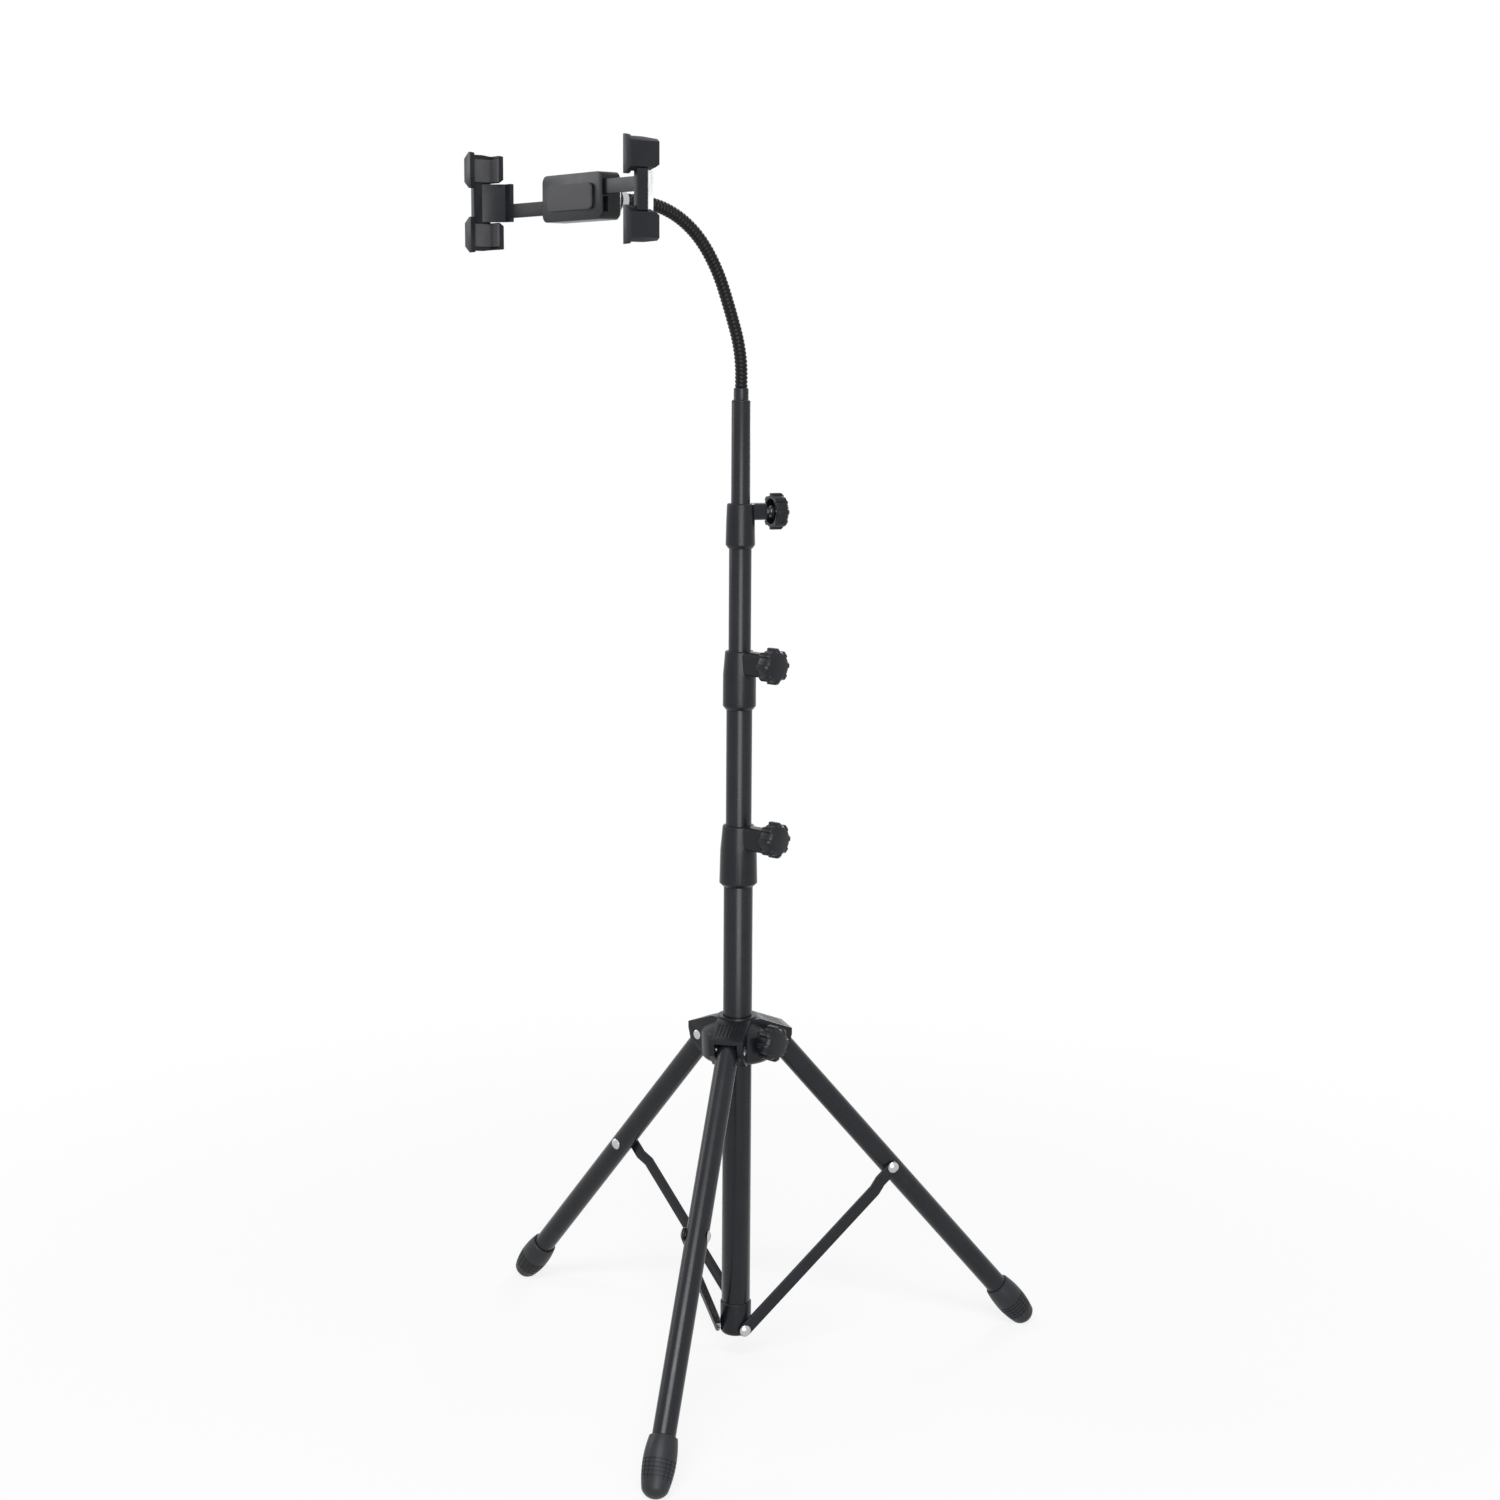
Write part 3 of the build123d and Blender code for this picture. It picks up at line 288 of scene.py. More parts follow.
def select_faces(piece: bpy.types.Object, test: Callable[[Vector, Vector], bool]) -> None:
    """Select the faces that pass a test, in edit mode.

    Args:
        piece: the object, open in edit mode.
        test: takes a face's centre and normal, and says whether to select it.
    """
    bpy.ops.mesh.select_all(action="DESELECT")
    bpy.ops.object.mode_set(mode="OBJECT")
    for polygon in piece.data.polygons:
        polygon.select = bool(test(polygon.center, polygon.normal))
    bpy.ops.object.mode_set(mode="EDIT")


def copied(master: bpy.types.Object, name: str, matrix: Matrix) -> bpy.types.Object:
    """Copy a piece that repeats, with a mesh of its own.

    Args:
        master: the piece that was modelled.
        name: the copy's name.
        matrix: carries the copy to its place.

    Returns:
        The copy.
    """
    copy = master.copy()
    copy.data = master.data.copy()
    copy.name = name
    bpy.context.scene.collection.objects.link(copy)
    copy.data.transform(matrix)
    return copy


def outward(bearing: float) -> Vector:
    """The level direction away from the mast at a bearing in degrees."""
    angle = math.radians(bearing)
    return Vector((math.cos(angle), math.sin(angle), 0))


def down_leg() -> tuple[Vector, Vector]:
    """The hinge's centre of a leg that points to +X, and the direction that runs down the leg."""
    hinge = Vector((HINGE_OUT, 0, HINGE_HEIGHT))
    return hinge, Vector((math.sin(LEG_SPREAD), 0, -math.cos(LEG_SPREAD)))


def round_mast(bearing: float) -> Matrix:
    """The turn round the mast that carries +X to a bearing in degrees."""
    return Matrix.Rotation(math.radians(bearing), 4, "Z")


def placed(origin: Vector, along: Vector) -> Matrix:
    """The matrix that carries +Z at the origin to a direction at a point."""
    turn = Vector((0, 0, 1)).rotation_difference(along).to_matrix().to_4x4()
    return Matrix.Translation(origin) @ turn


@dataclass(frozen=True)
class Ring:
    """One ring of a turned or swept piece: its centre, its lean towards -Y and its radius."""

    centre: Vector
    lean: float
    radius: float


def swept(name: str, rings: list[Ring], sides: int) -> bpy.types.Object:
    """Sweep a circle through rings by extruding, turning and scaling it in edit mode.

    Args:
        name: the new object's name.
        rings: the rings in order.
        sides: the number of vertices round each ring.

    Returns:
        A closed object with its place in its mesh.
    """
    clear_selection()
    first = rings[0]
    bpy.ops.mesh.primitive_circle_add(vertices=sides, radius=first.radius, fill_type="NGON",
                                      location=first.centre, rotation=(first.lean, 0, 0))
    piece = bpy.context.object
    piece.name = name
    bpy.ops.object.transform_apply(location=True, rotation=True, scale=True)
    edit(piece)
    for before, ring in zip(rings, rings[1:]):
        bpy.ops.mesh.extrude_region_move(TRANSFORM_OT_translate={"value": ring.centre - before.centre})
        if ring.lean != before.lean:
            bpy.ops.transform.rotate(value=before.lean - ring.lean, orient_axis="X",
                                     orient_type="GLOBAL", center_override=ring.centre)
        if ring.radius != before.radius:
            scale = ring.radius / before.radius
            bpy.ops.transform.resize(value=(scale, scale, scale), center_override=ring.centre)
    bpy.ops.object.mode_set(mode="OBJECT")
    tidy_normals(piece)
    return piece


def turned(name: str, profile: list[tuple[float, float]], sides: int) -> bpy.types.Object:
    """Turn a profile of heights and radii round +Z into a closed object."""
    rings = [Ring(Vector((0, 0, height)), 0.0, radius) for height, radius in profile]
    return swept(name, rings, sides)


def drill(piece: bpy.types.Object, centre: Vector, along: Vector, radius: float,
          length: float) -> None:
    """Cut a round hole through a piece.

    Args:
        piece: the piece.
        centre: the hole's middle.
        along: the direction of its axis.
        radius: its radius.
        length: the cutter's length.
    """
    clear_selection()
    bpy.ops.mesh.primitive_cylinder_add(vertices=DRILL_SIDES, radius=radius, depth=length)
    cutter = bpy.context.object
    cutter.data.transform(placed(centre, along))
    activate(piece)
    hole = piece.modifiers.new("hole", "BOOLEAN")
    hole.object = cutter
    hole.operation = "DIFFERENCE"
    hole.solver = "EXACT"
    bpy.ops.object.modifier_apply(modifier=hole.name)
    bpy.data.objects.remove(cutter)


class Frame:
    """The loaded CAD frame and what the pieces need from it."""

    def __init__(self) -> None:
        """Load the frame and note the body and the slot of each node."""
        self.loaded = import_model()
        record = self.loaded["record"]
        bodies = record["behaviour"]["bodies"]
        self.body_of = {node: body for body, nodes in bodies.items() for node in nodes}
        self.slot_of = {entry["node"]: entry["material_slot"] for entry in record["subparts"]}

    def node(self, name: str) -> bpy.types.Object:
        """The CAD object of a node."""
        return self.loaded["nodes"][name]

    def middle(self, name: str) -> Vector:
        """The centre of a node's box."""
        low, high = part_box(name)
        return (low + high) / 2

    def dress(self, node: str) -> None:
        """Give a CAD node that stays its finish.

        Args:
            node: the node's name.
        """
        material = FINISHES[self.slot_of[node]].material()
        for slot in self.node(node).material_slots:
            slot.material = material

    def seat(self, piece: bpy.types.Object, *nodes: str) -> None:
        """Finish a piece that stands for CAD nodes: its material, its body and what it replaces.

        Args:
            piece: the piece, in place.
            nodes: the nodes that it replaces; it rides on the first one's body.
        """
        finish = FINISHES[self.slot_of[nodes[0]]]
        piece.data.materials.clear()
        piece.data.materials.append(finish.material())
        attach(piece, self.body_of[nodes[0]])
        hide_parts(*nodes)
        log.info("%s rides on %s", piece.name, self.body_of[nodes[0]])


@dataclass
class Moulded:
    """Pieces whose solid has the right shape, and which only need their moulded or pressed edges.

    Attributes:
        widths: how wide each piece's edges are rounded, in millimetres.
        flat_angle: faces within this angle of each other become one.
        segments: the number of faces across each edge.
    """

    widths: dict[str, float] = field(default_factory=lambda: {
        "mast_collar": 0.9,
        "lower_collar": 0.8,
        "middle_collar": 0.7,
        "bottom_cap": 0.6,
        "hub": 0.8,
        "brace_front": 0.4,
        "brace_rear": 0.4,
        "brace_left": 0.4,
        "neck_ferrule": 0.3,
        "lock_nut": 0.4,
        "clamp_housing": 0.6,
        "clamp_cover": 0.6,
        "rest_pad": 0.8,
        "arm_left": 0.7,
        "arm_right": 0.7,
        "arm_pads_left": 0.4,
        "arm_pads_right": 0.4,
    })
    flat_angle: float = math.radians(1.0)
    segments: int = 3

    def build(self, frame: Frame) -> None:
        """Copy each solid, merge it and round its edges.

        Args:
            frame: the CAD frame.
        """
        for node, width in self.widths.items():
            source = frame.node(node)
            mesh = source.data.copy()
            mesh.name = node + "_finished"
            piece = bpy.data.objects.new(node + "_finished", mesh)
            bpy.context.scene.collection.objects.link(piece)
            edit(piece)
            bpy.ops.mesh.customdata_custom_splitnormals_clear()
            bpy.ops.mesh.remove_doubles(threshold=MERGE)
            bpy.ops.mesh.dissolve_limited(angle_limit=self.flat_angle)
            bpy.ops.object.mode_set(mode="OBJECT")
            round_edges(piece, width * MM, self.segments)
            frame.seat(piece, node)


@dataclass
class Pipes:
    """The mast's four tubes, hollow, with smoothed mouths."""

    wall: float = 1.0 * MM
    lip: float = 0.2 * MM
    sides: int = 64
    radii: dict[str, float] = field(default_factory=lambda: {
        "mast_tube": 12.5 * MM,
        "lower_tube": 11.0 * MM,
        "middle_tube": 9.5 * MM,
        "top_tube": 8.0 * MM,
    })

    def build(self, frame: Frame) -> None:
        """Make each tube as long as its solid.

        Args:
            frame: the CAD frame.
        """
        for node, radius in self.radii.items():
            low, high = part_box(node)
            clear_selection()
            bpy.ops.mesh.primitive_cylinder_add(vertices=self.sides, radius=radius,
                                                depth=high.z - low.z, end_fill_type="NGON",
                                                location=(0, 0, (low.z + high.z) / 2))
            pipe = bpy.context.object
            pipe.name = node + "_pipe"
            bpy.ops.object.transform_apply(location=True, rotation=True, scale=True)
            edit(pipe)
            select_faces(pipe, lambda centre, normal: abs(normal.z) > LEVEL)
            bpy.ops.mesh.inset(thickness=self.wall)
            bpy.ops.mesh.bridge_edge_loops()
            tidy_normals(pipe)
            round_edges(pipe, self.lip)
            frame.seat(pipe, node)


@dataclass
class Legs:
    """The leg tubes: one is modelled, hollow, with a rounded eye, and drilled for its pin and rivet.

    Attributes:
        radius: the tube's radius.
        wall: how thick it is.
        end: where its open end is, down the leg from the hinge.
        solid_eye: how far down it is solid.
        rivet_at: where the brace's rivet goes through.
        pin_hole: the radius of the hinge pin's hole.
        rivet_hole: the radius of the rivet's hole.
        sides: the number of vertices round it.
        dome_steps: the number of steps over the dome of its eye.
        reach: how long the cutter of a hole is.
    """

    radius: float = 9.5 * MM
    wall: float = 1.0 * MM
    end: float = 366.0 * MM
    solid_eye: float = 14.0 * MM
    rivet_at: float = 165.7 * MM
    pin_hole: float = 3.05 * MM
    rivet_hole: float = 2.5 * MM
    sides: int = 64
    dome_steps: int = 8
    reach: float = 25.0 * MM

    def profile(self) -> list[tuple[float, float]]:
        """The leg's outline from the bottom of its bore, round its open end, up to the dome of its eye.

        Returns:
            Distances down the leg from its hinge, and radii.
        """
        bore = self.radius - self.wall
        outline = [(self.solid_eye, bore), (self.end, bore), (self.end, self.radius), (0.0, self.radius)]
        for step in range(1, self.dome_steps):
            angle = math.pi / 2 * step / self.dome_steps
            outline.append((-self.radius * math.sin(angle), self.radius * math.cos(angle)))
        return outline

    def build(self, frame: Frame) -> None:
        """Turn and drill one leg, and copy it to the three places.

        Args:
            frame: the CAD frame.
        """
        leg = turned("leg_tube", self.profile(), self.sides)
        hinge, down = down_leg()
        leg.data.transform(placed(hinge, down))
        across = Vector((0, 1, 0))
        drill(leg, hinge, across, self.pin_hole, self.reach)
        drill(leg, hinge + down * self.rivet_at, across, self.rivet_hole, self.reach)
        tidy_normals(leg)
        round_edges(leg, 0.0)
        for name, bearing in LEG_BEARINGS.items():
            frame.seat(copied(leg, "leg_tube_" + name, round_mast(bearing)), "leg_" + name)
        bpy.data.objects.remove(leg)


@dataclass
class StarKnobs:
    """The four star knobs: one is modelled, and a copy of it goes to each screw.

    Attributes:
        core_radius: the radius between the lobes.
        lobe_rise: how far the lobes stand out.
        body: how thick the lobed part is.
        shoulder: how high the face stands over it.
        shoulder_scale: how much narrower the face is.
        face_inset: how wide the slope round the face's middle is.
        crown: how far its middle stands out.
        rim: how thick the wall round the hollow back is.
        hollow: how deep the back is hollow.
        boss_radius: the radius of the boss in the hollow.
        lobes: the number of lobes.
        faces_per_lobe: the number of side faces for each lobe and its gap.
        lobe_faces: how many of them make the lobe.
        edge: how wide the edges are rounded.
        edge_segments: the number of faces across each edge.
        places: each knob's bearing in degrees, and how far its back is from the mast's axis in
            millimetres.
    """

    core_radius: float = 13.5 * MM
    lobe_rise: float = 1.9 * MM
    body: float = 9.6 * MM
    shoulder: float = 2.4 * MM
    shoulder_scale: float = 0.84
    face_inset: float = 3.2 * MM
    crown: float = 0.8 * MM
    rim: float = 2.7 * MM
    hollow: float = 7.0 * MM
    boss_radius: float = 5.2 * MM
    lobes: int = 8
    faces_per_lobe: int = 5
    lobe_faces: int = 2
    edge: float = 0.85 * MM
    edge_segments: int = 3
    places: dict[str, tuple[float, float]] = field(default_factory=lambda: {
        "mast_knob": (12.0, 35.0),
        "lower_knob": (9.0, 33.5),
        "middle_knob": (77.0, 27.4),
        "hub_knob": (10.0, 36.0),
    })

    def master(self) -> bpy.types.Object:
        """Model one knob with its back at the origin and its face towards +Z.

        Returns:
            The knob.
        """
        clear_selection()
        count = self.faces_per_lobe * self.lobes
        sector = math.tau / count
        bpy.ops.mesh.primitive_cylinder_add(vertices=count, radius=self.core_radius,
                                            depth=self.body, end_fill_type="NGON",
                                            location=(0, 0, self.body / 2))
        knob = bpy.context.object
        knob.name = "star_knob"
        bpy.ops.object.transform_apply(location=True, rotation=True, scale=True)
        edit(knob)

        def is_lobe(centre: Vector, normal: Vector) -> bool:
            """Whether a side face is one of the neighbours that make a lobe."""
            turn = math.atan2(centre.y, centre.x) % math.tau
            return abs(normal.z) < SIDEWAYS and int(turn / sector) % self.faces_per_lobe < self.lobe_faces

        select_faces(knob, is_lobe)
        bpy.ops.mesh.extrude_region_shrink_fatten(
            TRANSFORM_OT_shrink_fatten={"value": self.lobe_rise})
        select_faces(knob, lambda centre, normal: normal.z > LEVEL)
        bpy.ops.mesh.extrude_region_move(TRANSFORM_OT_translate={"value": (0, 0, self.shoulder)})
        bpy.ops.transform.resize(value=(self.shoulder_scale, self.shoulder_scale, 1.0),
                                 center_override=(0, 0, self.body + self.shoulder))
        select_faces(knob, lambda centre, normal: normal.z > LEVEL and centre.xy.length < self.rim)
        bpy.ops.mesh.inset(thickness=self.face_inset)
        bpy.ops.transform.translate(value=(0, 0, self.crown))
        select_faces(knob, lambda centre, normal: normal.z < -LEVEL and centre.length < self.rim)
        bpy.ops.mesh.inset(thickness=self.rim)
        bpy.ops.mesh.extrude_region_move(TRANSFORM_OT_translate={"value": (0, 0, self.hollow)})
        bpy.ops.mesh.inset(thickness=self.core_radius - self.rim - self.boss_radius)
        bpy.ops.mesh.extrude_region_move(TRANSFORM_OT_translate={"value": (0, 0, -self.hollow)})
        bpy.ops.object.mode_set(mode="OBJECT")
        tidy_normals(knob)
        round_edges(knob, self.edge, self.edge_segments)
        knob.data.transform(Matrix.Rotation(-sector, 4, "Z"))
        return knob

    def build(self, frame: Frame) -> None:
        """Copy the knob to its four places.

        Args:
            frame: the CAD frame.
        """
        master = self.master()
        for node, (bearing, back) in self.places.items():
            out = outward(bearing)
            seat = out * back * MM + Vector((0, 0, frame.middle(node).z))
            knob = copied(master, node + "_star", placed(seat, out) @ round_mast(bearing + QUARTER_TURN))
            frame.seat(knob, node)
        bpy.data.objects.remove(master)


@dataclass
class Feet:
    """The rubber boots on the legs' ends, measured along the leg from its hinge, in millimetres.

    Attributes:
        start: where the boot's mouth is.
        socket: the radius of the socket that holds the leg.
        socket_end: how far the socket goes.
        socket_skin: faces farther out than this are the outer skin.
        mouth: the radius of the mouth's inner edge.
        mouth_round: how far the mouth's edges are rounded.
        lip_parts: the lip takes one part in so many of that rounding.
        belly_at: where the boot is widest.
        belly: its radius there.
        curve: how fast it narrows away from there.
        tip_at: the centre of the tip's round.
        tip: the radius of that round.
        tip_steps: the number of steps over it.
        step: how far apart the rings are before the grooves.
        groove_at: where the first groove is.
        groove_pitch: how far apart the grooves are.
        groove_width: how wide a groove is.
        groove_depth: how deep it is.
        groove_slant: how far its sides lean.
        grooves: the number of grooves.
        sides: the number of vertices round the boot.
        tread_every: one column of faces in so many is a channel.
        tread_depth: how deep a channel is.
    """

    start: float = 331.0
    socket: float = 9.55
    socket_end: float = 366.2
    socket_skin: float = 10.6
    mouth: float = 10.2
    mouth_round: float = 0.7
    lip_parts: float = 3.0
    belly_at: float = 350.4
    belly: float = 13.4
    curve: float = 0.0056
    tip_at: float = 367.5
    tip: float = 12.0
    tip_steps: int = 12
    step: float = 1.6
    groove_at: float = 350.7
    groove_pitch: float = 3.2
    groove_width: float = 1.1
    groove_depth: float = 0.55
    groove_slant: float = 0.1
    grooves: int = 5
    sides: int = 72
    tread_every: int = 4
    tread_depth: float = 0.4

    def radius(self, along: float) -> float:
        """The boot's radius at a place along it, without its grooves.

        Args:
            along: the distance down the leg from its hinge.

        Returns:
            The radius.
        """
        if along <= self.tip_at + self.tip / 2:
            return self.belly - self.curve * (along - self.belly_at) ** 2
        return math.sqrt(self.tip ** 2 - (along - self.tip_at) ** 2)

    def profile(self) -> list[tuple[float, float]]:
        """The boot's outline: from its socket's bottom, round its mouth and over its grooves to its tip.

        Returns:
            Distances down the leg from its hinge, and radii.
        """
        lip = self.start + self.mouth_round / self.lip_parts
        outline = [(self.socket_end, self.socket), (lip, self.socket), (self.start, self.mouth),
                   (lip, self.radius(self.start) - self.mouth_round)]
        along = self.start + self.mouth_round
        while along < self.groove_at - self.step / 2:
            outline.append((along, self.radius(along)))
            along += self.step
        for row in range(self.grooves):
            edge = self.groove_at + row * self.groove_pitch
            outline.append((edge, self.radius(edge)))
            outline.append((edge + self.groove_slant, self.radius(edge) - self.groove_depth))
            far = edge + self.groove_width
            outline.append((far - self.groove_slant, self.radius(far) - self.groove_depth))
            outline.append((far, self.radius(far)))
        last = self.tip_at + self.tip
        begin = outline[-1][0]
        for index in range(1, self.tip_steps):
            share = math.sin(math.pi / 2 * index / self.tip_steps)
            along = begin + (last - begin) * share
            outline.append((along, self.radius(along)))
        return outline

    def tread(self, boot: bpy.types.Object) -> None:
        """Press the lengthwise channels of the tread into the grooved half.

        Args:
            boot: the turned boot, still along +Z.
        """
        sector = math.tau / self.sides
        begin = self.groove_at * MM
        end = (self.groove_at + self.grooves * self.groove_pitch) * MM
        edit(boot)

        def is_channel(centre: Vector, normal: Vector) -> bool:
            """Whether a face of the outer skin is in a channel's column, where the grooves are."""
            turn = math.atan2(centre.y, centre.x) % math.tau
            outside = centre.xy.length > self.socket_skin * MM
            return outside and begin < centre.z < end and int(turn / sector) % self.tread_every == 0

        select_faces(boot, is_channel)
        bpy.ops.mesh.extrude_region_shrink_fatten(
            TRANSFORM_OT_shrink_fatten={"value": -self.tread_depth * MM})
        bpy.ops.object.mode_set(mode="OBJECT")

    def build(self, frame: Frame) -> None:
        """Turn one boot, cut it flat at the floor and copy it to the three legs.

        Args:
            frame: the CAD frame.
        """
        profile = [(along * MM, radius * MM) for along, radius in self.profile()]
        boot = turned("boot", profile, self.sides)
        self.tread(boot)
        boot.data.transform(placed(*down_leg()))
        edit(boot)
        bpy.ops.mesh.bisect(plane_co=(0, 0, 0), plane_no=(0, 0, 1), use_fill=True, clear_inner=True)
        bpy.ops.object.mode_set(mode="OBJECT")
        tidy_normals(boot)
        round_edges(boot, 0.0)
        for name, bearing in LEG_BEARINGS.items():
            frame.seat(copied(boot, "boot_" + name, round_mast(bearing)), "foot_" + name)
        bpy.data.objects.remove(boot)


@dataclass
class Neck:
    """The ribbed neck: a piece across each hinge, from the middle of one stretch to that of the next.

    Attributes:
        base: the height of the neck's foot.
        straight_end: the height where it starts to bend.
        bends: each stretch's length in millimetres and its turn in degrees.
        tail: how far the neck goes on past the last stretch.
        pitch: how far apart the ribs are.
        crest: the radius on a rib.
        root: the radius between ribs.
        rib: the outline of a rib, as shares of the pitch and of the rise.
        sides: the number of vertices round the neck.
    """

    base: float = 839.0 * MM
    straight_end: float = 858.2 * MM
    bends: tuple[tuple[float, float], ...] = (
        (38.0, 19.0), (36.0, 3.0), (36.0, 15.0), (34.0, 22.0), (30.0, 21.0), (26.0, 10.0))
    tail: float = 6.5 * MM
    pitch: float = 3.3 * MM
    crest: float = 5.3 * MM
    root: float = 4.65 * MM
    rib: tuple[tuple[float, float], ...] = (
        (0.0, 0.0), (0.18, 0.62), (0.38, 1.0), (0.62, 1.0), (0.82, 0.62))
    sides: int = 28

    def lengths(self) -> list[float]:
        """Where each stretch of the neck starts and the last one ends.

        Returns:
            The runs along the neck, in metres.
        """
        marks = [0.0, self.straight_end - self.base]
        for length, _ in self.bends:
            marks.append(marks[-1] + length * MM)
        marks[-1] += self.tail
        return marks

    def ring(self, run: float, radius: float) -> Ring:
        """The ring at a run along the neck.

        Args:
            run: metres from the neck's foot.
            radius: the ring's radius.

        Returns:
            The ring.
        """
        start = self.straight_end - self.base
        if run <= start:
            return Ring(Vector((0, 0, self.base + run)), 0.0, radius)
        out, height, lean, rest = 0.0, self.straight_end, 0.0, run - start
        for length, turn in self.bends:
            reach = min(rest, length * MM)
            bend = math.radians(turn)
            curve = length * MM / bend
            later = lean + bend * reach / (length * MM)
            out += curve * (math.cos(lean) - math.cos(later))
            height += curve * (math.sin(later) - math.sin(lean))
            lean = later
            rest -= reach
            if rest <= 0:
                break
        out += rest * math.sin(lean)
        height += rest * math.cos(lean)
        return Ring(Vector((0, -out, height)), lean, radius)

    def rings(self, start: float, end: float) -> list[Ring]:
        """The rings between two runs, with the ribs in step along the whole neck.

        Args:
            start: where the piece starts.
            end: where it ends.

        Returns:
            The rings in order.
        """
        result = [self.ring(start, self.root)]
        for index in range(round(start / self.pitch), round(end / self.pitch)):
            for share, rise in self.rib:
                run = (index + share) * self.pitch
                if start + MERGE < run < end - MERGE:
                    result.append(self.ring(run, self.root + (self.crest - self.root) * rise))
        result.append(self.ring(end, self.root))
        return result

    def build(self, frame: Frame) -> None:
        """Sweep the six pieces, each across its hinge.

        Args:
            frame: the CAD frame.
        """
        marks = self.lengths()
        count = len(self.bends)
        halves = [0.0]
        for index in range(1, count):
            middle = (marks[index] + marks[index + 1]) / 2
            halves.append(round(middle / self.pitch) * self.pitch)
        halves.append(marks[-1])
        for index in range(count):
            start, end = halves[index], halves[index + 1]
            piece = swept(f"neck_flex_{index + 1}", self.rings(start, end), self.sides)
            round_edges(piece, 0.0)
            piece.data.materials.append(NECK_PAINT.material())
            hinge = marks[index + 1]
            reach = min(hinge - start, end - hinge)
            self.ring(hinge - reach, self.root).centre
            self.ring(hinge + reach, self.root).centre
            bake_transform(piece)
            nodes = [f"neck_{index + 1}"]
            if index == count - 1:
                nodes.append(f"neck_{count + 1}")
            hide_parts(*nodes)


@dataclass
class Hardware:
    """CAD nodes that stay as they are, with their finishes."""

    nodes: tuple[str, ...] = (
        "mast_bush", "lower_bush", "middle_bush", "mast_nut", "lower_nut", "middle_nut", "hub_nut",
        "mast_screw", "lower_screw", "middle_screw", "hub_screw", "cap_rivets", "hub_pins",
        "leg_rivet_front", "leg_rivet_rear", "leg_rivet_left",
        "brace_rivet_front", "brace_rivet_rear", "brace_rivet_left", "ball_stud", "ball_seat")

    def build(self, frame: Frame) -> None:
        """Dress each node.

        Args:
            frame: the CAD frame.
        """
        for node in self.nodes:
            frame.dress(node)
        log.info("%d solids keep their shape", len(self.nodes))


@dataclass(frozen=True)
class Lamp:
    """One soft lamp: its name, its place, the width and height of its face, and its power."""

    name: str
    place: tuple[float, float, float]
    width: float
    height: float
    power: float


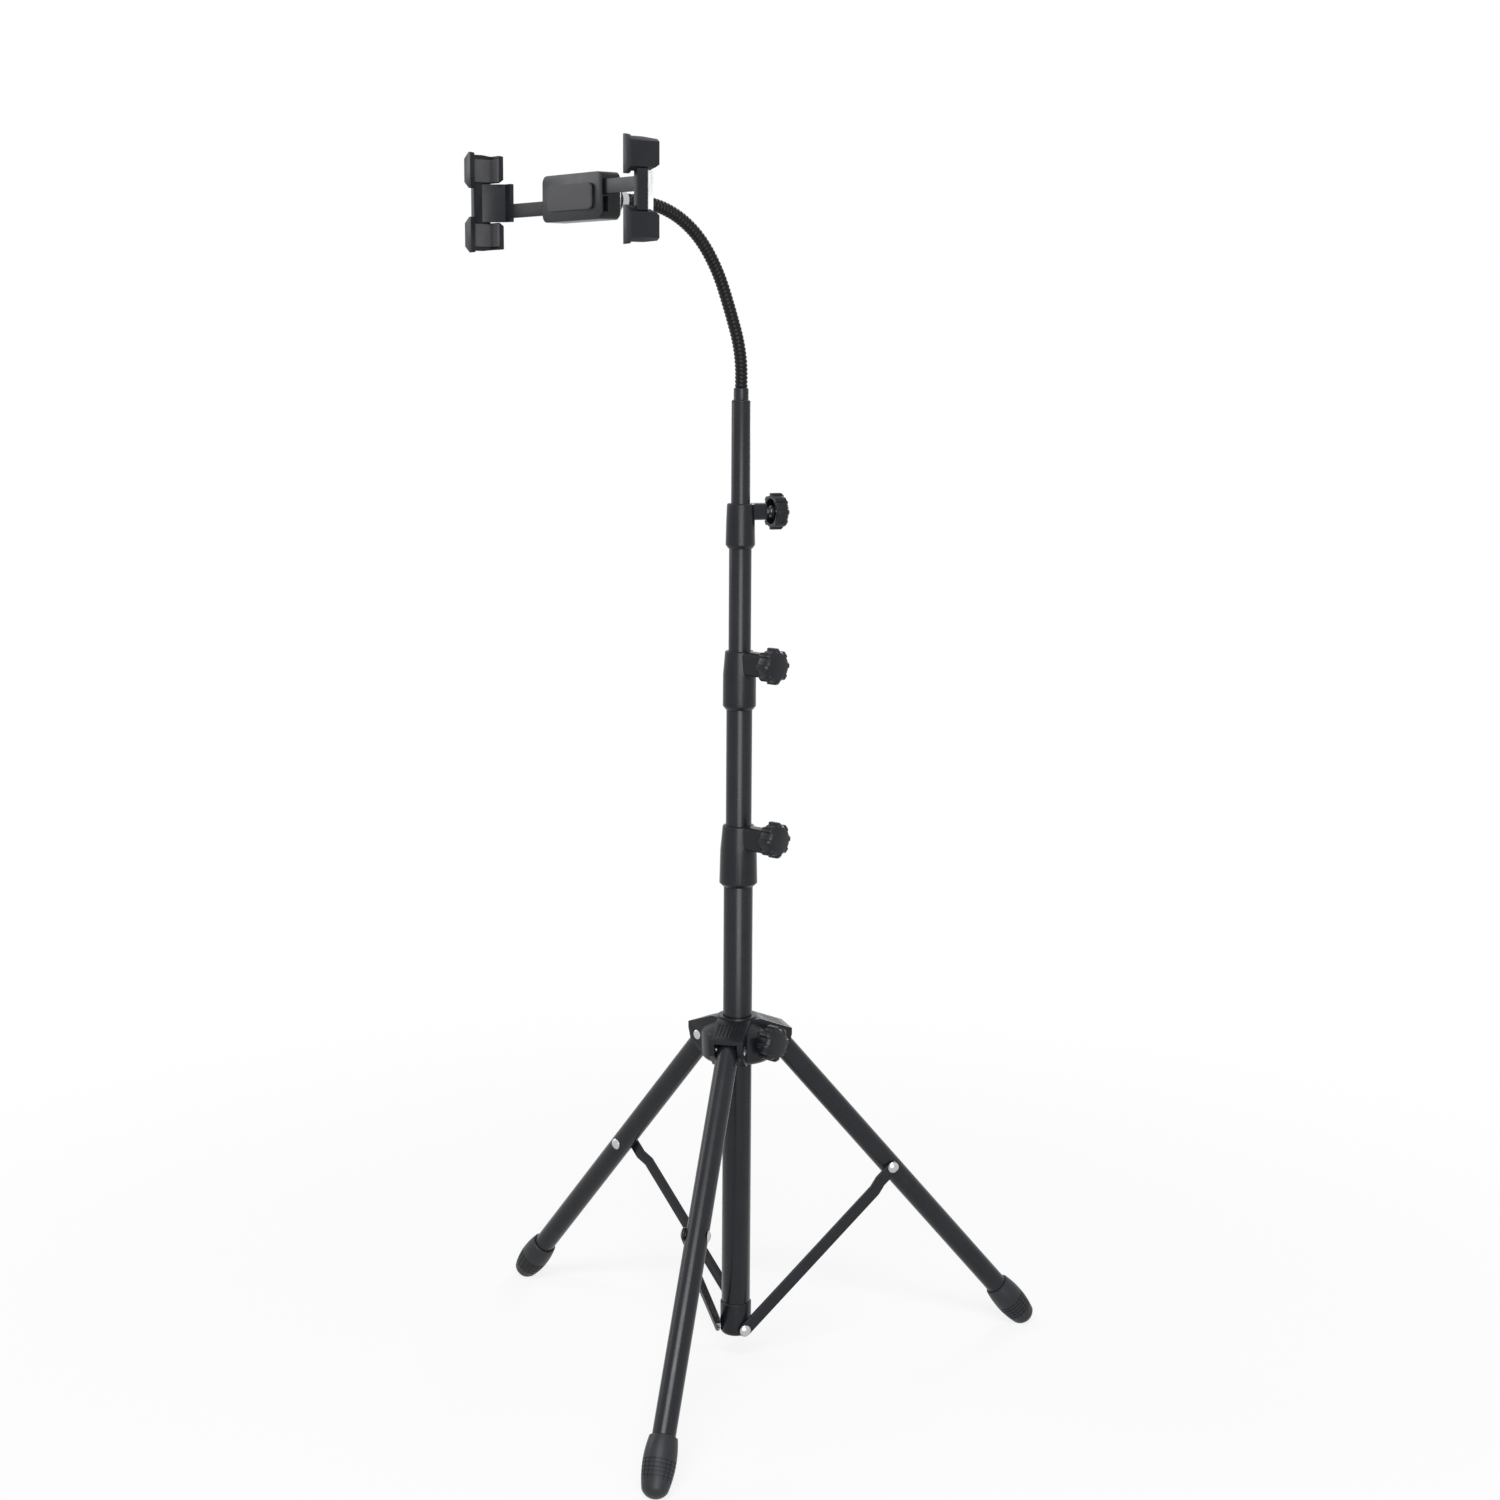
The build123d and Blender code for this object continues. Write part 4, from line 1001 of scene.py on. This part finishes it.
@dataclass
class Studio:
    """The floor, the light and the camera.

    Attributes:
        floor_size: how wide the floor is.
        floor_colour: its base colour.
        floor_roughness: how matte it is.
        floor_specular: its shader's specular level.
        floor_near: how far from the mast it starts to turn white.
        floor_far: how far from the mast it is white.
        floor_lift: how white it is near the mast.
        sky: the sky's strength as a light.
        camera_at: the camera's place.
        heading: its turn round +Z.
        pitch: its turn up from looking down.
        roll: its turn round its own axis.
        lens: its focal length in millimetres.
        sensor: its sensor's width in millimetres.
        clip_end: how far it sees.
        aim: what the lamps point at.
        lamps: the lamps.
    """

    floor_size: float = 40.0
    floor_colour: tuple[float, float, float] = (0.95, 0.95, 0.95)
    floor_roughness: float = 0.9
    floor_specular: float = 0.1
    floor_near: float = 0.3
    floor_far: float = 1.3
    floor_lift: float = 0.8
    sky: float = 0.3
    camera_at: tuple[float, float, float] = (1.60501, -1.21214, 0.877774)
    heading: float = math.radians(52.675)
    pitch: float = math.radians(80.587)
    roll: float = math.radians(0.393)
    lens: float = 57.56
    sensor: float = 36.0
    clip_end: float = 100.0
    aim: tuple[float, float, float] = (0.0, 0.0, 0.55)
    lamps: tuple[Lamp, ...] = (
        Lamp("key", (2.6, -1.5, 0.85), 1.7, 1.6, 55.0),
        Lamp("top", (1.43, -1.48, 2.9), 2.0, 0.6, 52.0),
        Lamp("fill", (-2.4, -1.6, 1.8), 1.0, 1.6, 14.0),
        Lamp("back", (-1.4, 2.4, 1.6), 1.0, 1.6, 22.0))

    def show_white(self, nodes: bpy.types.Nodes, links: bpy.types.NodeLinks) -> bpy.types.NodeSocket:
        """One for rays that should see the white background.

        Args:
            nodes: the node tree's nodes.
            links: its links.

        Returns:
            The socket that holds it.
        """
        path = nodes.new("ShaderNodeLightPath")
        first = nodes.new("ShaderNodeMath")
        first.operation = "MAXIMUM"
        second = nodes.new("ShaderNodeMath")
        second.operation = "MAXIMUM"
        links.new(path.outputs["Is Camera Ray"], first.inputs[0])
        links.new(path.outputs["Is Glossy Ray"], first.inputs[1])
        links.new(first.outputs[0], second.inputs[0])
        links.new(path.outputs["Is Transmission Ray"], second.inputs[1])
        return second.outputs[0]

    def world(self) -> None:
        """A plain sky that shows white and lights softly."""
        world = bpy.data.worlds.new("studio")
        bpy.context.scene.world = world
        world.use_nodes = True
        nodes = world.node_tree.nodes
        links = world.node_tree.links
        output = nodes["World Output"]
        light = nodes["Background"]
        light.inputs["Color"].default_value = WHITE
        light.inputs["Strength"].default_value = self.sky
        white = nodes.new("ShaderNodeBackground")
        white.inputs["Color"].default_value = WHITE
        mix = nodes.new("ShaderNodeMixShader")
        links.new(self.show_white(nodes, links), mix.inputs["Fac"])
        links.new(light.outputs[0], mix.inputs[1])
        links.new(white.outputs[0], mix.inputs[2])
        links.new(mix.outputs[0], output.inputs["Surface"])

    def floor(self) -> None:
        """A plain pale floor, which keeps the stand's shadow and turns white away from it."""
        clear_selection()
        bpy.ops.mesh.primitive_plane_add(size=self.floor_size)
        floor = bpy.context.object
        floor.name = "floor"
        material = bpy.data.materials.new("floor")
        material.use_nodes = True
        nodes = material.node_tree.nodes
        links = material.node_tree.links
        shader = nodes["Principled BSDF"]
        shader.inputs["Base Color"].default_value = (*self.floor_colour, 1.0)
        shader.inputs["Roughness"].default_value = self.floor_roughness
        shader.inputs["Specular IOR Level"].default_value = self.floor_specular
        white = nodes.new("ShaderNodeEmission")
        place = nodes.new("ShaderNodeTexCoord")
        distance = nodes.new("ShaderNodeVectorMath")
        distance.operation = "LENGTH"
        fade = nodes.new("ShaderNodeMapRange")
        fade.interpolation_type = "SMOOTHSTEP"
        fade.inputs["From Min"].default_value = self.floor_near
        fade.inputs["From Max"].default_value = self.floor_far
        fade.inputs["To Min"].default_value = self.floor_lift
        fade.inputs["To Max"].default_value = 1.0
        seen = nodes.new("ShaderNodeMath")
        seen.operation = "MULTIPLY"
        mix = nodes.new("ShaderNodeMixShader")
        links.new(place.outputs["Object"], distance.inputs[0])
        links.new(distance.outputs["Value"], fade.inputs["Value"])
        links.new(self.show_white(nodes, links), seen.inputs[0])
        links.new(fade.outputs["Result"], seen.inputs[1])
        links.new(seen.outputs[0], mix.inputs["Fac"])
        links.new(shader.outputs[0], mix.inputs[1])
        links.new(white.outputs[0], mix.inputs[2])
        links.new(mix.outputs[0], nodes["Material Output"].inputs["Surface"])
        floor.data.materials.append(material)

    def light(self) -> None:
        """Soft lamps, each aimed at the middle of the stand."""
        target = Vector(self.aim)
        for lamp in self.lamps:
            light = bpy.data.lights.new(lamp.name, "AREA")
            light.shape = "RECTANGLE"
            light.size = lamp.width
            light.size_y = lamp.height
            light.energy = lamp.power
            holder = bpy.data.objects.new(lamp.name, light)
            bpy.context.scene.collection.objects.link(holder)
            holder.location = lamp.place
            view = target - Vector(lamp.place)
            holder.rotation_euler = view.to_track_quat("-Z", "Y").to_euler()

    def camera(self) -> None:
        """The camera at the photograph's viewpoint."""
        lens = bpy.data.cameras.new("camera")
        lens.lens = self.lens
        lens.sensor_width = self.sensor
        lens.clip_end = self.clip_end
        camera = bpy.data.objects.new("camera", lens)
        bpy.context.scene.collection.objects.link(camera)
        turn = Matrix.Rotation(self.heading, 4, "Z") @ Matrix.Rotation(self.pitch, 4, "X")
        roll = Matrix.Rotation(self.roll, 4, "Z")
        camera.matrix_world = Matrix.Translation(self.camera_at) @ turn @ roll
        bpy.context.scene.camera = camera

    def build(self) -> None:
        """Set the whole studio."""
        bpy.context.scene.view_settings.view_transform = "Standard"
        self.world()
        self.floor()
        self.light()
        self.camera()


def main() -> None:
    """Build the stand and its studio."""
    logging.basicConfig(level=logging.INFO, format="%(name)s %(message)s")
    frame = Frame()
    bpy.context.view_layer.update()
    Hardware().build(frame)
    Pipes().build(frame)
    Legs().build(frame)
    Moulded().build(frame)
    StarKnobs().build(frame)
    Feet().build(frame)
    Neck().build(frame)
    Studio().build()


if __name__ == "__main__":
    main()
